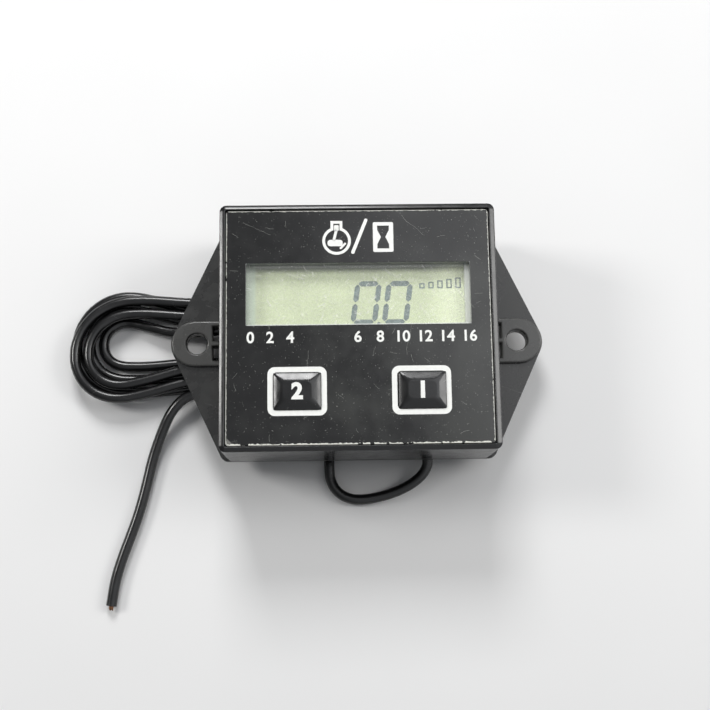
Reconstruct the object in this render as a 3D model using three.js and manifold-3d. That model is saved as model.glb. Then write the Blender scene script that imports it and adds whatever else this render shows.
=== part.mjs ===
// A small digital tachometer and hour meter for engines. A square casing snaps onto a hexagonal
// mounting base with two ears. Its face holds a display window and two sprung keys, and one thin
// pickup lead leaves the base's rear compartment and is wound into a hank under the left ear.
// Millimetres. +X runs to the right of the dial, +Y up the dial and +Z out of it. The origin is
// the middle of the meter on the plane that its rear cover rests on.
import * as THREE from "three";
import { mergeVertices } from "three/addons/utils/BufferGeometryUtils.js";
import Module from "manifold-3d";

const wasm = await Module();
wasm.setup();

// Making
const overrun = 1;
const merge_distance = 1e-4;
const round_steps = 5;
const bore_sides = 20;
const small_sides = 12;

// Clearances
const seat_gap = 0.3;
const panel_gap = 0.15;
const key_gap = 0.2;
const thread_gap = 0.15;
const contact_gap = 0.1;

// Casing
const casing_width = 50;
const casing_height = 45;
const casing_corner_radius = 1.2;
const casing_wall = 1.5;
const front_wall_thickness = 1.6;
const rim_side_width = 1.05;
const rim_end_width = 0.95;
const rim_rounding = 0.35;
const rim_rise = 0.4;
const rim_height_over_ears = 15.6;

// Mounting base
const flange_thickness = 1.8;
const flange_corner_margin = 1.2;
const flange_corner_radius = 1.6;
const flange_ear_margin = 0.15;
const ear_rise = 1;
const ear_hole_offset = 5.6;
const ear_hole_diameter = 4;
const ear_end_radius = 4.4;
const ear_end_offset = 0.5;
const ear_casing_gap = 0.3;
const snap_slot_reach = 2.6;
const snap_slot_width = 2.7;
const snap_slot_spacing = 3.86;
const hook_width = 1.6;
const hook_thickness = 1;
const barb_depth = 0.75;
const barb_height = 0.6;
const collar_height = 3;
const collar_wall = 1.2;
const gasket_width = 1.3;
const gasket_height = 1;

// Rear compartment
const compartment_corner_radius = 2;
const compartment_wall = 1.5;
const cover_thickness = 1.6;
const cover_seal_thickness = 0.4;
const cell_recess_depth = 0.6;
const leaf_headroom = 0.2;
const partition_thickness = 1.2;
const lead_well_length = 8.3;
const cell_side_gap = 0.5;
const cell_end_gap = 0.75;
const cover_post_radius = 2;
const cover_post_inset = 2.3;

// Coin cell and its contacts
const cell_diameter = 20;
const cell_thickness = 3.2;
const cell_rim_inset = 0.9;
const cell_crown_height = 0.5;
const contact_width = 3;
const contact_thickness = 0.2;
const contact_reach = 7;
const contact_leg_offset = 6;
const contact_tab = 1.6;
const contact_slot_clearance = 0.35;

// Screws
const screw_shank_diameter = 1.6;
const screw_head_diameter = 3.2;
const screw_head_height = 0.9;
const screw_recess_length = 2;
const screw_recess_width = 0.45;
const screw_recess_depth = 0.45;
const screw_head_sink = 0.1;
const cover_screw_length = 5;
const board_screw_length = 5;

// Front panel and display
const panel_thickness = 1.2;
const panel_corner_radius = 0.6;
const window_corner_radius = 0.3;
const pane_margin = 1;
const pane_thickness = 1.3;
const display_post_gap = 0.55;
const display_key_gap = 5.35;
const glass_side_border = 1.8;
const glass_end_border = 3.3;
const glass_thickness = 1.1;
const contact_ledge = 2;
const reflector_thickness = 0.3;
const reflector_inset = 0.5;
const strip_width = 1.4;
const strip_inset = 1;
const strip_glass_gap = 0.4;
const holder_wall = 0.9;
const holder_peg_diameter = 1.2;

// Circuit board
const board_thickness = 1.6;
const board_drop = 4.4;
const board_post_radius = 1.8;
const board_post_inset_x = 4.3;
const board_post_inset_y = 4.1;
const blob_diameter = 9;
const blob_height = 1.4;
const blob_place_shares = [-0.35, 0.3];
const crystal_diameter = 2;
const crystal_length = 6;
const crystal_place_shares = [-0.7, -0.2];
const capacitor_diameter = 4;
const capacitor_clearance = 2.4;
const capacitor_place_shares = [-0.17, -0.53];
const chip_length = 2;
const chip_width = 1.25;
const chip_height = 0.55;
const chip_pitch = 3.2;
const resistor_place_shares = [0.11, -0.68];
const filter_place_shares = [-0.73, 0.48];

// Keys
const key_spacing = 22.2;
const key_row_inset = 10.65;
const key_width = 8.55;
const key_height = 6.7;
const key_rise = 0.8;
const key_edge_inset = 0.95;
const key_edge_steps = 3;
const key_collar_margin = 0.75;
const key_collar_thickness = 0.8;
const key_stem_radius = 1.5;
const key_stem_length = 0.3;
const key_rest_gap = 0.3;
const switch_size = 6;
const switch_well_depth = 1.2;
const plunger_diameter = 3.4;
const plunger_rise = 0.9;

// Pickup lead
const lead_diameter = 2;
const lead_rest_height = 1.05;
const lead_sides = 8;
const lead_step = 2.6;
const exit_offset = 2.4;
const grommet_width = 4.2;
const grommet_flange_margin = 0.5;
const grommet_flange_thickness = 0.7;
const snout_length = 3.1;
const snout_root_diameter = 2.8;
const snout_tip_diameter = 2.5;
const tail_bend_radius = 4;
const tail_straight = 1;
const core_diameter = 0.9;
const core_length = 0.6;

// Hank
const hank_turns = 5.147;
const hank_left = -56.6;
const hank_right = -1.5;
const hank_y = 0.55;
const hank_half_width = 10.5;
const hank_pitch = 2.58;
const hank_layer_rise = 2.42;
const hank_layer_shift = 0.9;
const hank_waist_draw = 1.9;
const hank_lean_share = 0.14;
const hank_fan_share = 0.1;
const hank_fan_start = -31;
const hank_fan_bend = 6;
const hank_run_steps = 6;
const hank_end_steps = 8;
const hank_sides = 6;
const hank_measure_steps = 400;
const tail_steps = 16;
const tail_bend_steps = 6;

// Levels
const compartment_rim = cover_thickness + cover_seal_thickness;
const cell_back = cover_thickness + contact_gap;
const leaf_back = cell_back + cell_thickness + contact_gap;
const cell_ceiling = leaf_back + contact_thickness + leaf_headroom;
const flange_back = cell_ceiling - cell_recess_depth;
const flange_front = flange_back + flange_thickness;
const ear_top = flange_front + ear_rise;
const rim_top = ear_top + rim_height_over_ears;
const panel_front = rim_top - rim_rise;
const panel_back = panel_front - panel_thickness;
const front_wall_back = panel_back - front_wall_thickness;
const glass_back = front_wall_back - glass_thickness;
const back_glass_back = glass_back - glass_thickness;
const board_front = front_wall_back - board_drop;
const board_back = board_front - board_thickness;
const key_collar_front = panel_back - key_gap;
const key_collar_back = key_collar_front - key_collar_thickness;
const key_stem_back = key_collar_back - key_stem_length;
const plunger_top = key_stem_back - key_rest_gap;
const switch_body_height = plunger_top - plunger_rise - board_front;
const capacitor_height = board_back - flange_front - capacitor_clearance;
const grommet_height = flange_back - compartment_rim - 2 * contact_gap;
const exit_z = compartment_rim + grommet_height / 2;

// Plan sizes that follow from the driving ones
const inner_width = casing_width - 2 * casing_wall;
const inner_height = casing_height - 2 * casing_wall;
const recess_width = casing_width - 2 * rim_side_width;
const recess_height = casing_height - 2 * rim_end_width;
const collar_width = inner_width - 2 * (gasket_width + panel_gap + panel_gap);
const collar_length = inner_height - 2 * (gasket_width + panel_gap + panel_gap);
const ear_hole_x = casing_width / 2 + ear_hole_offset;
const ear_end_x = ear_hole_x + ear_end_offset;
const hook_outer_x = casing_width / 2 - panel_gap;
const hook_inner_x = hook_outer_x - hook_thickness;
const barb_tip_x = hook_inner_x - barb_depth;
const hook_drop = flange_thickness + barb_height + seat_gap;
const board_width = inner_width - 2 * seat_gap;
const board_height = inner_height - 2 * seat_gap;
const board_post_x = casing_width / 2 - board_post_inset_x;
const board_post_y = casing_height / 2 - board_post_inset_y;
const key_y = key_row_inset - casing_height / 2;
const glass_width = inner_width - 2 * (2 * seat_gap + holder_wall);
const holder_top_y = board_post_y - board_post_radius - display_post_gap;
const glass_top_y = holder_top_y - holder_wall - seat_gap;
const glass_bottom_y = key_y + key_height / 2 + display_key_gap;
const glass_height = glass_top_y - glass_bottom_y;
const window_y = (glass_top_y + glass_bottom_y) / 2;
const window_width = glass_width - 2 * glass_side_border;
const window_height = glass_height - 2 * glass_end_border;
const back_glass_height = glass_height - 2 * contact_ledge;
const strip_length = glass_width - 2 * strip_inset;
const compartment_width = cell_diameter + 2 * (cell_side_gap + compartment_wall);
const pocket_length = cell_diameter + 2 * cell_end_gap;
const divided_length = pocket_length + partition_thickness + lead_well_length;
const compartment_height = divided_length + 2 * compartment_wall;
const compartment_x = barb_tip_x - seat_gap - compartment_width / 2;
const exit_x = compartment_x + exit_offset;
const cover_post_x = compartment_width / 2 - cover_post_inset;
const cover_post_y = compartment_height / 2 - cover_post_inset;
const pocket_width = compartment_width - 2 * compartment_wall;
const pocket_top = compartment_height / 2 - compartment_wall;
const pocket_bottom = pocket_top - pocket_length;
const well_top = pocket_bottom - partition_thickness;
const cell_y = (pocket_top + pocket_bottom) / 2;
const grommet_y = -compartment_height / 2;
const holder_width = glass_width + 2 * (seat_gap + holder_wall);
const holder_height = glass_height + 2 * (seat_gap + holder_wall);
const strip_y = back_glass_height / 2 + strip_glass_gap + strip_width / 2;
const hank_left_x = hank_left + hank_half_width + lead_diameter / 2;
const hank_right_x = hank_right - hank_half_width - lead_diameter / 2;
const hank_mean_radius = hank_half_width - (hank_pitch * hank_turns) / 4;
const hank_run = hank_right_x - hank_left_x;
const hank_run_share = hank_run / (2 * hank_run + 2 * Math.PI * hank_mean_radius);
const hank_climb_start = Math.floor(hank_turns) / 2;
const negative_leg_x = compartment_x - contact_leg_offset;
const positive_leg_y = cell_y - cell_diameter / 2 - contact_gap - contact_thickness / 2;
const cover_screw_tip = screw_head_sink + cover_screw_length;
const board_screw_back = board_back - screw_head_height;
const board_screw_tip = board_screw_back + board_screw_length;
const grommet_flange_y = grommet_flange_thickness / 2 + contact_gap;
const tail_start_y = grommet_y + compartment_wall + grommet_flange_y + grommet_flange_thickness / 2 + seat_gap;
const lead_riser_y = tail_start_y + tail_straight + tail_bend_radius;
const holder_pegs = corners(glass_width / 3, (holder_height - holder_wall) / 2);

// The lead's hand-chosen places. The first route runs from the strain relief to the hank, and the
// second from the hank to the bare end.
const loop_route = [
  [13.2, -21.1, 3.3], [13.2, -22.3, 3.3], [13.1, -23.4, 3.15], [12.4, -24.8, 2.8],
  [11.1, -26.1, 2.35], [9.2, -27.3, 1.85], [6.6, -28.4, 1.4], [3.6, -29.2, 1.12],
  [0.5, -29.6, 1.05], [-2, -29.3, 1.05], [-4.1, -28, 1.05], [-5.3, -26, 1.05],
  [-5.6, -23.6, 1.05], [-5.6, -21, 1.05], [-5.6, -18.5, 1.05], [-5.6, -16.3, 1.05],
  [-5.6, -14.25, 1.05], [-5.93, -12.6, 1.05], [-6.86, -11.21, 1.05], [-8.25, -10.28, 1.05],
  [-9.9, -9.95, 1.05], [-12.7, -9.95, 1.05],
];
const free_route = [
  [-29.3, -8.95, 3.47], [-30.5, -9, 3.47], [-31.7, -9.2, 3.45], [-32.8, -9.62, 3.4],
  [-33.8, -10.25, 3.3], [-34.8, -11.15, 3.12], [-35.75, -12.3, 2.85], [-36.7, -13.85, 2.45],
  [-37.55, -15.7, 2], [-38.33, -17.59, 1.62], [-39.01, -19.48, 1.32], [-39.62, -21.48, 1.12],
  [-40.5, -25.31, 1.05], [-41.4, -29.12, 1.05], [-42.5, -32.9, 1.05], [-43.82, -36.66, 1.05],
  [-45.15, -40.39, 1.05], [-46.2, -44.1, 1.05], [-46.8, -47.8, 1.05], [-46.95, -48.91, 1.05],
];

// Finishes
const finish = (color, roughness, metalness = 0) =>
  new THREE.MeshStandardMaterial({ color, roughness, metalness });
const casing_plastic = finish(0x1b1c1e, 0.5);
const base_plastic = finish(0x2c2d2f, 0.62);
const panel_gloss = finish(0x070809, 0.12);
const key_gloss = finish(0x08090b, 0.16);
const clear_pane = new THREE.MeshStandardMaterial({
  color: 0xdfe6e0,
  roughness: 0.05,
  transparent: true,
  opacity: 0.35,
});
const display_glass = finish(0xc3c9b4, 0.2);
const reflector_film = finish(0xd3d6bf, 0.4);
const rubber = finish(0x161617, 0.8);
const laminate = finish(0x1f5a34, 0.5);
const chip_body = finish(0x151515, 0.6);
const capacitor_sleeve = finish(0x23304a, 0.4);
const steel = finish(0xb9bcc0, 0.3, 1);
const nickel = finish(0xa9a596, 0.35, 1);
const switch_plastic = finish(0x303236, 0.5);
const lead_sleeve = finish(0x0a0a0b, 0.22);
const copper = finish(0xb8683e, 0.35, 1);

// A closed geometry as a solid that can be joined and cut.
function solidOf(geometry) {
  const bare = geometry.clone();
  bare.deleteAttribute("normal");
  bare.deleteAttribute("uv");
  const merged = mergeVertices(bare, merge_distance);
  return new wasm.Manifold(
    new wasm.Mesh({
      numProp: 3,
      vertProperties: new Float32Array(merged.attributes.position.array),
      triVerts: new Uint32Array(merged.index.array),
    }),
  );
}

// A solid as a geometry again.
function geometryOf(solid) {
  const mesh = solid.getMesh();
  const geometry = new THREE.BufferGeometry();
  geometry.setAttribute("position", new THREE.BufferAttribute(mesh.vertProperties, 3));
  geometry.setIndex(new THREE.BufferAttribute(mesh.triVerts, 1));
  geometry.computeVertexNormals();
  return geometry;
}

// An outline extruded from one level to another.
function prism(outline, low, high) {
  const geometry = new THREE.ExtrudeGeometry(outline, {
    depth: high - low,
    bevelEnabled: false,
    curveSegments: round_steps,
  });
  return solidOf(geometry.translate(0, 0, low));
}

// An upright block round the point (x, y).
function block(width, height, low, high, x = 0, y = 0) {
  const geometry = new THREE.BoxGeometry(width, height, high - low);
  return solidOf(geometry.translate(x, y, (low + high) / 2));
}

// An upright round bar round the point (x, y).
function bar(radius, low, high, x = 0, y = 0, sides = bore_sides) {
  const geometry = new THREE.CylinderGeometry(radius, radius, high - low, sides);
  return solidOf(geometry.rotateX(Math.PI / 2).translate(x, y, (low + high) / 2));
}

// A rectangle with round corners, centred.
function roundedRectangle(width, height, radius) {
  const outline = new THREE.Shape();
  const x = width / 2 - radius;
  const y = height / 2 - radius;
  const corners = [[x, y], [-x, y], [-x, -y], [x, -y]];
  corners.forEach(([cx, cy], i) => {
    outline.absarc(cx, cy, radius, (i * Math.PI) / 2, ((i + 1) * Math.PI) / 2);
  });
  return outline;
}

// A round-cornered slab whose front edge is rounded over.
function roundedSlab(width, height, radius, low, high, rounding) {
  const body = prism(roundedRectangle(width, height, radius), low, high - rounding);
  const inset = roundedRectangle(width - 2 * rounding, height - 2 * rounding, radius - rounding);
  const lid = new THREE.ExtrudeGeometry(inset, {
    depth: rounding,
    bevelThickness: rounding,
    bevelSize: rounding,
    bevelSegments: 2,
    curveSegments: round_steps,
  });
  return body.add(solidOf(lid.translate(0, 0, high - 2 * rounding)));
}

const tachometer = new THREE.Group();

// A named sub-part at its place.
function add(name, solid, material, x = 0, y = 0, z = 0) {
  const mesh = new THREE.Mesh(geometryOf(solid), material);
  mesh.name = name;
  mesh.position.set(x, y, z);
  tachometer.add(mesh);
  return mesh;
}

// The four corners of a rectangle of places.
function corners(x, y) {
  return [[-x, -y], [x, -y], [x, y], [-x, y]];
}

// The flange: the casing's corners drawn out to a round end at each ear.
function flangeOutline() {
  const end_radius = ear_end_radius + flange_ear_margin;
  const corner_x = casing_width / 2 + flange_corner_margin - flange_corner_radius;
  const corner_y = casing_height / 2 - flange_corner_radius;
  const run = Math.hypot(ear_end_x - corner_x, corner_y);
  const slope = Math.atan2(-corner_y, ear_end_x - corner_x);
  const turn = slope + Math.acos((flange_corner_radius - end_radius) / run);
  const outline = new THREE.Shape();
  outline.absarc(ear_end_x, 0, end_radius, -turn, turn);
  outline.absarc(corner_x, corner_y, flange_corner_radius, turn, Math.PI / 2);
  outline.absarc(-corner_x, corner_y, flange_corner_radius, Math.PI / 2, Math.PI - turn);
  outline.absarc(-ear_end_x, 0, end_radius, Math.PI - turn, Math.PI + turn);
  outline.absarc(-corner_x, -corner_y, flange_corner_radius, Math.PI + turn, 1.5 * Math.PI);
  outline.absarc(corner_x, -corner_y, flange_corner_radius, 1.5 * Math.PI, 2 * Math.PI - turn);
  return outline;
}

// One raised ear, on the right.
function ear() {
  const start = casing_width / 2 + ear_casing_gap;
  const outline = new THREE.Shape();
  outline.absarc(ear_end_x, 0, ear_end_radius, -Math.PI / 2, Math.PI / 2);
  outline.lineTo(start, ear_end_radius);
  outline.lineTo(start, -ear_end_radius);
  return prism(outline, flange_front - flange_thickness / 2, ear_top);
}

// The rear compartment's walls, partition and screw posts, round its own middle.
function compartment() {
  const block_outline = roundedRectangle(
    compartment_width, compartment_height, compartment_corner_radius,
  );
  const well_bottom = compartment_wall - compartment_height / 2;
  const well_height = well_top - well_bottom;
  let hollow = block(
    pocket_width, pocket_length, compartment_rim - overrun, cell_ceiling, 0, cell_y,
  );
  hollow = hollow.add(
    block(
      pocket_width, well_height, compartment_rim - overrun, flange_back,
      0, (well_top + well_bottom) / 2,
    ),
  );
  for (const [x, y] of corners(cover_post_x, cover_post_y)) {
    hollow = hollow.subtract(
      bar(cover_post_radius, compartment_rim - 2 * overrun, cell_ceiling + overrun, x, y),
    );
  }
  return { walls: prism(block_outline, compartment_rim, flange_back + flange_thickness / 2), hollow };
}

function mountingBase() {
  let body = prism(flangeOutline(), flange_back, flange_front);
  body = body.add(ear()).add(ear().rotate([0, 0, 180]));
  const collar_top = flange_front + collar_height;
  const collar_low = flange_front - flange_thickness / 2;
  body = body.add(block(collar_width, collar_length, collar_low, collar_top));
  body = body.subtract(
    block(
      collar_width - 2 * collar_wall, collar_length - 2 * collar_wall,
      flange_front, collar_top + overrun,
    ),
  );
  const { walls, hollow } = compartment();
  body = body.add(walls.translate([compartment_x, 0, 0]));
  body = body.subtract(hollow.translate([compartment_x, 0, 0]));
  for (const side of [-1, 1]) {
    const hole_x = side * ear_hole_x;
    body = body.subtract(
      bar(ear_hole_diameter / 2, flange_back - overrun, ear_top + overrun, hole_x, 0),
    );
    const slot_low = casing_width / 2 - casing_wall;
    const slot_high = casing_width / 2 + snap_slot_reach;
    for (const end of [-1, 1]) {
      body = body.subtract(
        block(
          slot_high - slot_low, snap_slot_width, flange_back - overrun, ear_top + overrun,
          (side * (slot_low + slot_high)) / 2, (end * snap_slot_spacing) / 2,
        ),
      );
    }
  }
  return body.subtract(baseOpenings());
}

// The ways through the base for the contacts, the lead, its strain relief and the cover screws.
function baseOpenings() {
  const low = flange_back - overrun;
  const high = flange_front + overrun;
  const slot = contact_thickness + 2 * contact_slot_clearance;
  const length = contact_width + 2 * contact_slot_clearance;
  const notch_width = grommet_width + 2 * key_gap;
  let tools = block(slot, length, low, high, negative_leg_x, cell_y);
  tools = tools.add(block(length, slot, low, high, compartment_x, positive_leg_y));
  const lead_room = lead_diameter + 2 * seat_gap;
  const riser_y = lead_riser_y - tail_bend_radius / 4;
  tools = tools.add(
    block(lead_room, lead_room + tail_bend_radius / 2, low, high, exit_x, riser_y),
  );
  tools = tools.add(
    block(
      notch_width, compartment_wall + 2 * overrun, compartment_rim - overrun, flange_back,
      exit_x, grommet_y + compartment_wall / 2,
    ),
  );
  for (const [x, y] of corners(cover_post_x, cover_post_y)) {
    tools = tools.add(
      bar(
        screw_shank_diameter / 2 + thread_gap, compartment_rim - overrun,
        cover_screw_tip + seat_gap, compartment_x + x, y, small_sides,
      ),
    );
  }
  return tools;
}

// A snap hook on the casing's right wall, round its own middle along Y.
function hook() {
  const tip = flange_front - hook_drop;
  const middle = (hook_outer_x + hook_inner_x) / 2;
  const leg = block(hook_thickness, hook_width, tip, flange_front + overrun, middle);
  const reach = hook_outer_x - barb_tip_x;
  const barb = block(reach, hook_width, tip, tip + barb_height, (hook_outer_x + barb_tip_x) / 2);
  return leg.add(barb);
}

function frontHousing() {
  let body = roundedSlab(
    casing_width, casing_height, casing_corner_radius, flange_front, rim_top, rim_rounding,
  );
  body = body.subtract(block(inner_width, inner_height, flange_front - overrun, front_wall_back));
  body = body.subtract(block(recess_width, recess_height, panel_back, rim_top + overrun));
  body = body.subtract(
    block(
      window_width + 2 * (pane_margin + seat_gap), window_height + 2 * (pane_margin + seat_gap),
      front_wall_back - overrun, panel_back + overrun, 0, window_y,
    ),
  );
  const room = 2 * (key_collar_margin + seat_gap);
  for (const side of [-1, 1]) {
    body = body.subtract(
      block(
        key_width + room, key_height + room, front_wall_back - overrun, panel_back + overrun,
        (side * key_spacing) / 2, key_y,
      ),
    );
  }
  for (const [x, y] of corners(board_post_x, board_post_y)) {
    const post = bar(board_post_radius, board_front, front_wall_back + front_wall_thickness / 2, x, y);
    body = body.add(post);
    body = body.subtract(
      bar(
        screw_shank_diameter / 2 + thread_gap, board_front - overrun, board_screw_tip + seat_gap,
        x, y, small_sides,
      ),
    );
  }
  for (const end of [-1, 1]) {
    const right = hook().translate([0, (end * snap_slot_spacing) / 2, 0]);
    body = body.add(right).add(right.mirror([1, 0, 0]));
  }
  return body;
}

function frontPanel() {
  let body = prism(
    roundedRectangle(recess_width - 2 * panel_gap, recess_height - 2 * panel_gap, panel_corner_radius),
    panel_back, panel_front,
  );
  const window_opening = prism(
    roundedRectangle(window_width, window_height, window_corner_radius),
    panel_back - overrun, panel_front + overrun,
  );
  body = body.subtract(window_opening.translate([0, window_y, 0]));
  for (const side of [-1, 1]) {
    body = body.subtract(
      block(
        key_width + 2 * key_gap, key_height + 2 * key_gap, panel_back - overrun, panel_front + overrun,
        (side * key_spacing) / 2, key_y,
      ),
    );
  }
  return body;
}

// A key cap: a pillow front that runs through the panel, a collar behind it and a stem. Its own
// origin lies on the panel's front.
function keyCap() {
  const collar_top = key_collar_front - panel_front;
  const collar_low = key_collar_back - panel_front;
  const stem_low = key_stem_back - panel_front;
  const width = key_width + 2 * key_collar_margin;
  const height = key_height + 2 * key_collar_margin;
  let body = block(width, height, collar_low, collar_top);
  body = body.add(block(key_width, key_height, collar_low, 0));
  body = body.add(bar(key_stem_radius, stem_low, collar_top, 0, 0, small_sides));
  for (let i = 0; i < key_edge_steps; i += 1) {
    const [low, high] = [i, i + 1].map((step) => (step * Math.PI) / 2 / key_edge_steps);
    body = body.add(pillowStep(low, high));
  }
  return body;
}

// One sloped step of a key's pillow, between two angles of its rounded edge.
function pillowStep(low, high) {
  const step = new THREE.BoxGeometry(1, 1, 1);
  const place = step.attributes.position;
  for (let i = 0; i < place.count; i += 1) {
    const angle = place.getZ(i) > 0 ? high : low;
    const inset = 2 * key_edge_inset * (1 - Math.cos(angle));
    const x = place.getX(i) * (key_width - inset);
    const y = place.getY(i) * (key_height - inset);
    place.setXYZ(i, x, y, key_rise * Math.sin(angle));
  }
  return solidOf(step);
}

function lcdHolder() {
  const top = front_wall_back - seat_gap;
  let body = block(holder_width, holder_height, board_front, top);
  body = body.subtract(
    block(
      holder_width - 2 * holder_wall, holder_height - 2 * holder_wall,
      board_front - overrun, top + overrun,
    ),
  );
  for (const [x, y] of holder_pegs) {
    body = body.add(
      bar(holder_peg_diameter / 2, board_back, board_front + glass_thickness, x, y, small_sides),
    );
  }
  return body;
}

function circuitBoard() {
  let body = block(board_width, board_height, board_back, board_front);
  const low = board_back - overrun;
  const high = board_front + overrun;
  for (const [x, y] of corners(board_post_x, board_post_y)) {
    body = body.subtract(
      bar(screw_shank_diameter / 2 + thread_gap, low, high, x, y, small_sides),
    );
  }
  for (const [x, y] of holder_pegs) {
    body = body.subtract(
      bar(holder_peg_diameter / 2 + thread_gap, low, high, x, y + window_y, small_sides),
    );
  }
  return body;
}

// A screw whose head's outer face lies at its own origin and whose shank points along +Z.
function screw(length) {
  let body = bar(screw_head_diameter / 2, 0, screw_head_height, 0, 0, small_sides);
  body = body.add(bar(screw_shank_diameter / 2, 0, length, 0, 0, small_sides));
  body = body.subtract(
    block(screw_recess_length, screw_recess_width, -overrun, screw_recess_depth),
  );
  return body.subtract(
    block(screw_recess_width, screw_recess_length, -overrun, screw_recess_depth),
  );
}

function batteryCover() {
  let body = prism(
    roundedRectangle(compartment_width, compartment_height, compartment_corner_radius),
    0, cover_thickness,
  );
  for (const [x, y] of corners(cover_post_x, cover_post_y)) {
    body = body.subtract(
      bar(
        screw_head_diameter / 2 + seat_gap, -overrun, screw_head_sink + screw_head_height, x, y,
      ),
    );
    body = body.subtract(
      bar(
        screw_shank_diameter / 2 + thread_gap, 0, cover_thickness + overrun, x, y, small_sides,
      ),
    );
  }
  return body;
}

function coverSeal() {
  let body = prism(
    roundedRectangle(compartment_width, compartment_height, compartment_corner_radius),
    cover_thickness, compartment_rim,
  );
  let inner = block(
    pocket_width, compartment_height - 2 * compartment_wall,
    cover_thickness - overrun, compartment_rim + overrun,
  );
  for (const [x, y] of corners(cover_post_x, cover_post_y)) {
    inner = inner.subtract(
      bar(cover_post_radius, cover_thickness - 2 * overrun, compartment_rim + 2 * overrun, x, y),
    );
    body = body.subtract(
      bar(
        screw_shank_diameter / 2 + thread_gap, cover_thickness - overrun,
        compartment_rim + overrun, x, y, small_sides,
      ),
    );
  }
  return body.subtract(inner);
}

function housingGasket() {
  const width = inner_width - 2 * panel_gap;
  const height = inner_height - 2 * panel_gap;
  const top = flange_front + gasket_height;
  return block(width, height, flange_front, top).subtract(
    block(width - 2 * gasket_width, height - 2 * gasket_width, flange_front - overrun, top + overrun),
  );
}

// The cell's can with its narrower crown, which faces the base.
function coinCell() {
  const radius = cell_diameter / 2;
  return bar(radius, 0, cell_thickness - cell_crown_height, 0, 0, 32).add(
    bar(radius - cell_rim_inset, 0, cell_thickness, 0, 0, 32),
  );
}

// The strain relief: a block in the compartment's notch, a flange on each side of the wall and a
// tapered snout. Its own origin is the middle of the lead at the wall's outer face, and it points
// along -Y.
function leadGrommet() {
  const wide = grommet_width + 2 * grommet_flange_margin;
  const bottom = -grommet_height / 2;
  const top = grommet_height / 2;
  let body = block(
    grommet_width, compartment_wall + 2 * grommet_flange_y, bottom, top, 0, compartment_wall / 2,
  );
  for (const y of [-grommet_flange_y, compartment_wall + grommet_flange_y]) {
    body = body.add(block(wide, grommet_flange_thickness, bottom, top, 0, y));
  }
  const snout = new THREE.CylinderGeometry(
    snout_root_diameter / 2, snout_tip_diameter / 2, snout_length, bore_sides,
  );
  snout.translate(0, -grommet_flange_thickness - snout_length / 2, 0);
  return body.add(solidOf(snout));
}

// A strip of sheet metal with a leaf and a leg, as a profile in its own XZ plane.
function bentStrip(profile, width) {
  const geometry = new THREE.ExtrudeGeometry(profile, { depth: width, bevelEnabled: false });
  return solidOf(geometry.rotateX(Math.PI / 2).translate(0, width / 2, 0));
}

// A regular section for a lead.
function ringShape(radius, sides) {
  const points = [];
  for (let i = 0; i < sides; i += 1) {
    const angle = (2 * Math.PI * i) / sides;
    points.push(new THREE.Vector2(radius * Math.cos(angle), radius * Math.sin(angle)));
  }
  return new THREE.Shape(points);
}

// A free stretch of the lead along its hand-chosen places.
function leadStretch(route) {
  const curve = new THREE.CatmullRomCurve3(route.map((p) => new THREE.Vector3(...p)));
  const length = curve.getLength();
  console.log("stretch of the lead", length.toFixed(1), "mm");
  return solidOf(
    new THREE.ExtrudeGeometry(ringShape(lead_diameter / 2, lead_sides), {
      steps: Math.round(length / lead_step),
      extrudePath: curve,
    }),
  );
}

// The middle of the hank's lead after a number of turns. It runs clockwise from the right end of
// its lower run, spirals in, climbs to the second layer along the run where it reverses, and
// spirals out again, over the gaps between the turns below. The runs are drawn in at the waist.
function hankPoint(turns) {
  const inward = Math.min(turns, hank_turns - turns);
  const climb = (turns - hank_climb_start) / (hank_run_share / 2);
  const shift = hank_layer_shift * THREE.MathUtils.clamp(climb - 0.5, 0, 1);
  const radius = hank_half_width - hank_pitch * inward + shift;
  const z = lead_rest_height + hank_layer_rise * THREE.MathUtils.clamp(climb, 0, 1);
  const along = turns - Math.floor(turns);
  const in_half = along % 0.5;
  const lower = along < 0.5 ? -1 : 1;
  if (in_half < hank_run_share) {
    const done = in_half / hank_run_share;
    const x = lower < 0 ? hank_right_x - hank_run * done : hank_left_x + hank_run * done;
    return leaning(x, lower * (radius - hank_waist_draw * Math.sin(Math.PI * done) ** 2), z, climb);
  }
  const angle = (Math.PI * (in_half - hank_run_share)) / (0.5 - hank_run_share);
  const reach = lower * radius * Math.sin(angle);
  const end_x = lower < 0 ? hank_left_x : hank_right_x;
  return leaning(end_x + reach, lower * radius * Math.cos(angle), z, climb);
}

// A place on the upright hank moved by the first layer's lean, which grows towards the left end,
// and by the fan, which draws that layer up the dial and the second one down it left of the ear.
function leaning(x, y, z, climb) {
  const second = THREE.MathUtils.clamp(climb, 0, 1);
  const lean = THREE.MathUtils.smoothstep(hank_right_x - x, 0, hank_run) * (1 - second);
  const beyond = Math.max(0, hank_fan_start - x);
  const fan = (hank_fan_share * beyond * beyond) / (beyond + hank_fan_bend);
  return new THREE.Vector3(x + hank_lean_share * lean * y, hank_y + y + (1 - 2 * second) * fan, z);
}

// The turns at which the hank has a ring of points.
function hankStations() {
  const stations = [];
  const end_share = 0.5 - hank_run_share;
  for (let half = 0; half < 2 * hank_turns; half += 1) {
    for (let i = 0; i < hank_run_steps; i += 1) {
      stations.push(half / 2 + (hank_run_share * i) / hank_run_steps);
    }
    for (let i = 0; i < hank_end_steps; i += 1) {
      stations.push(half / 2 + hank_run_share + (end_share * i) / hank_end_steps);
    }
  }
  return [...stations.filter((turns) => turns < hank_turns), hank_turns];
}

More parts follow.
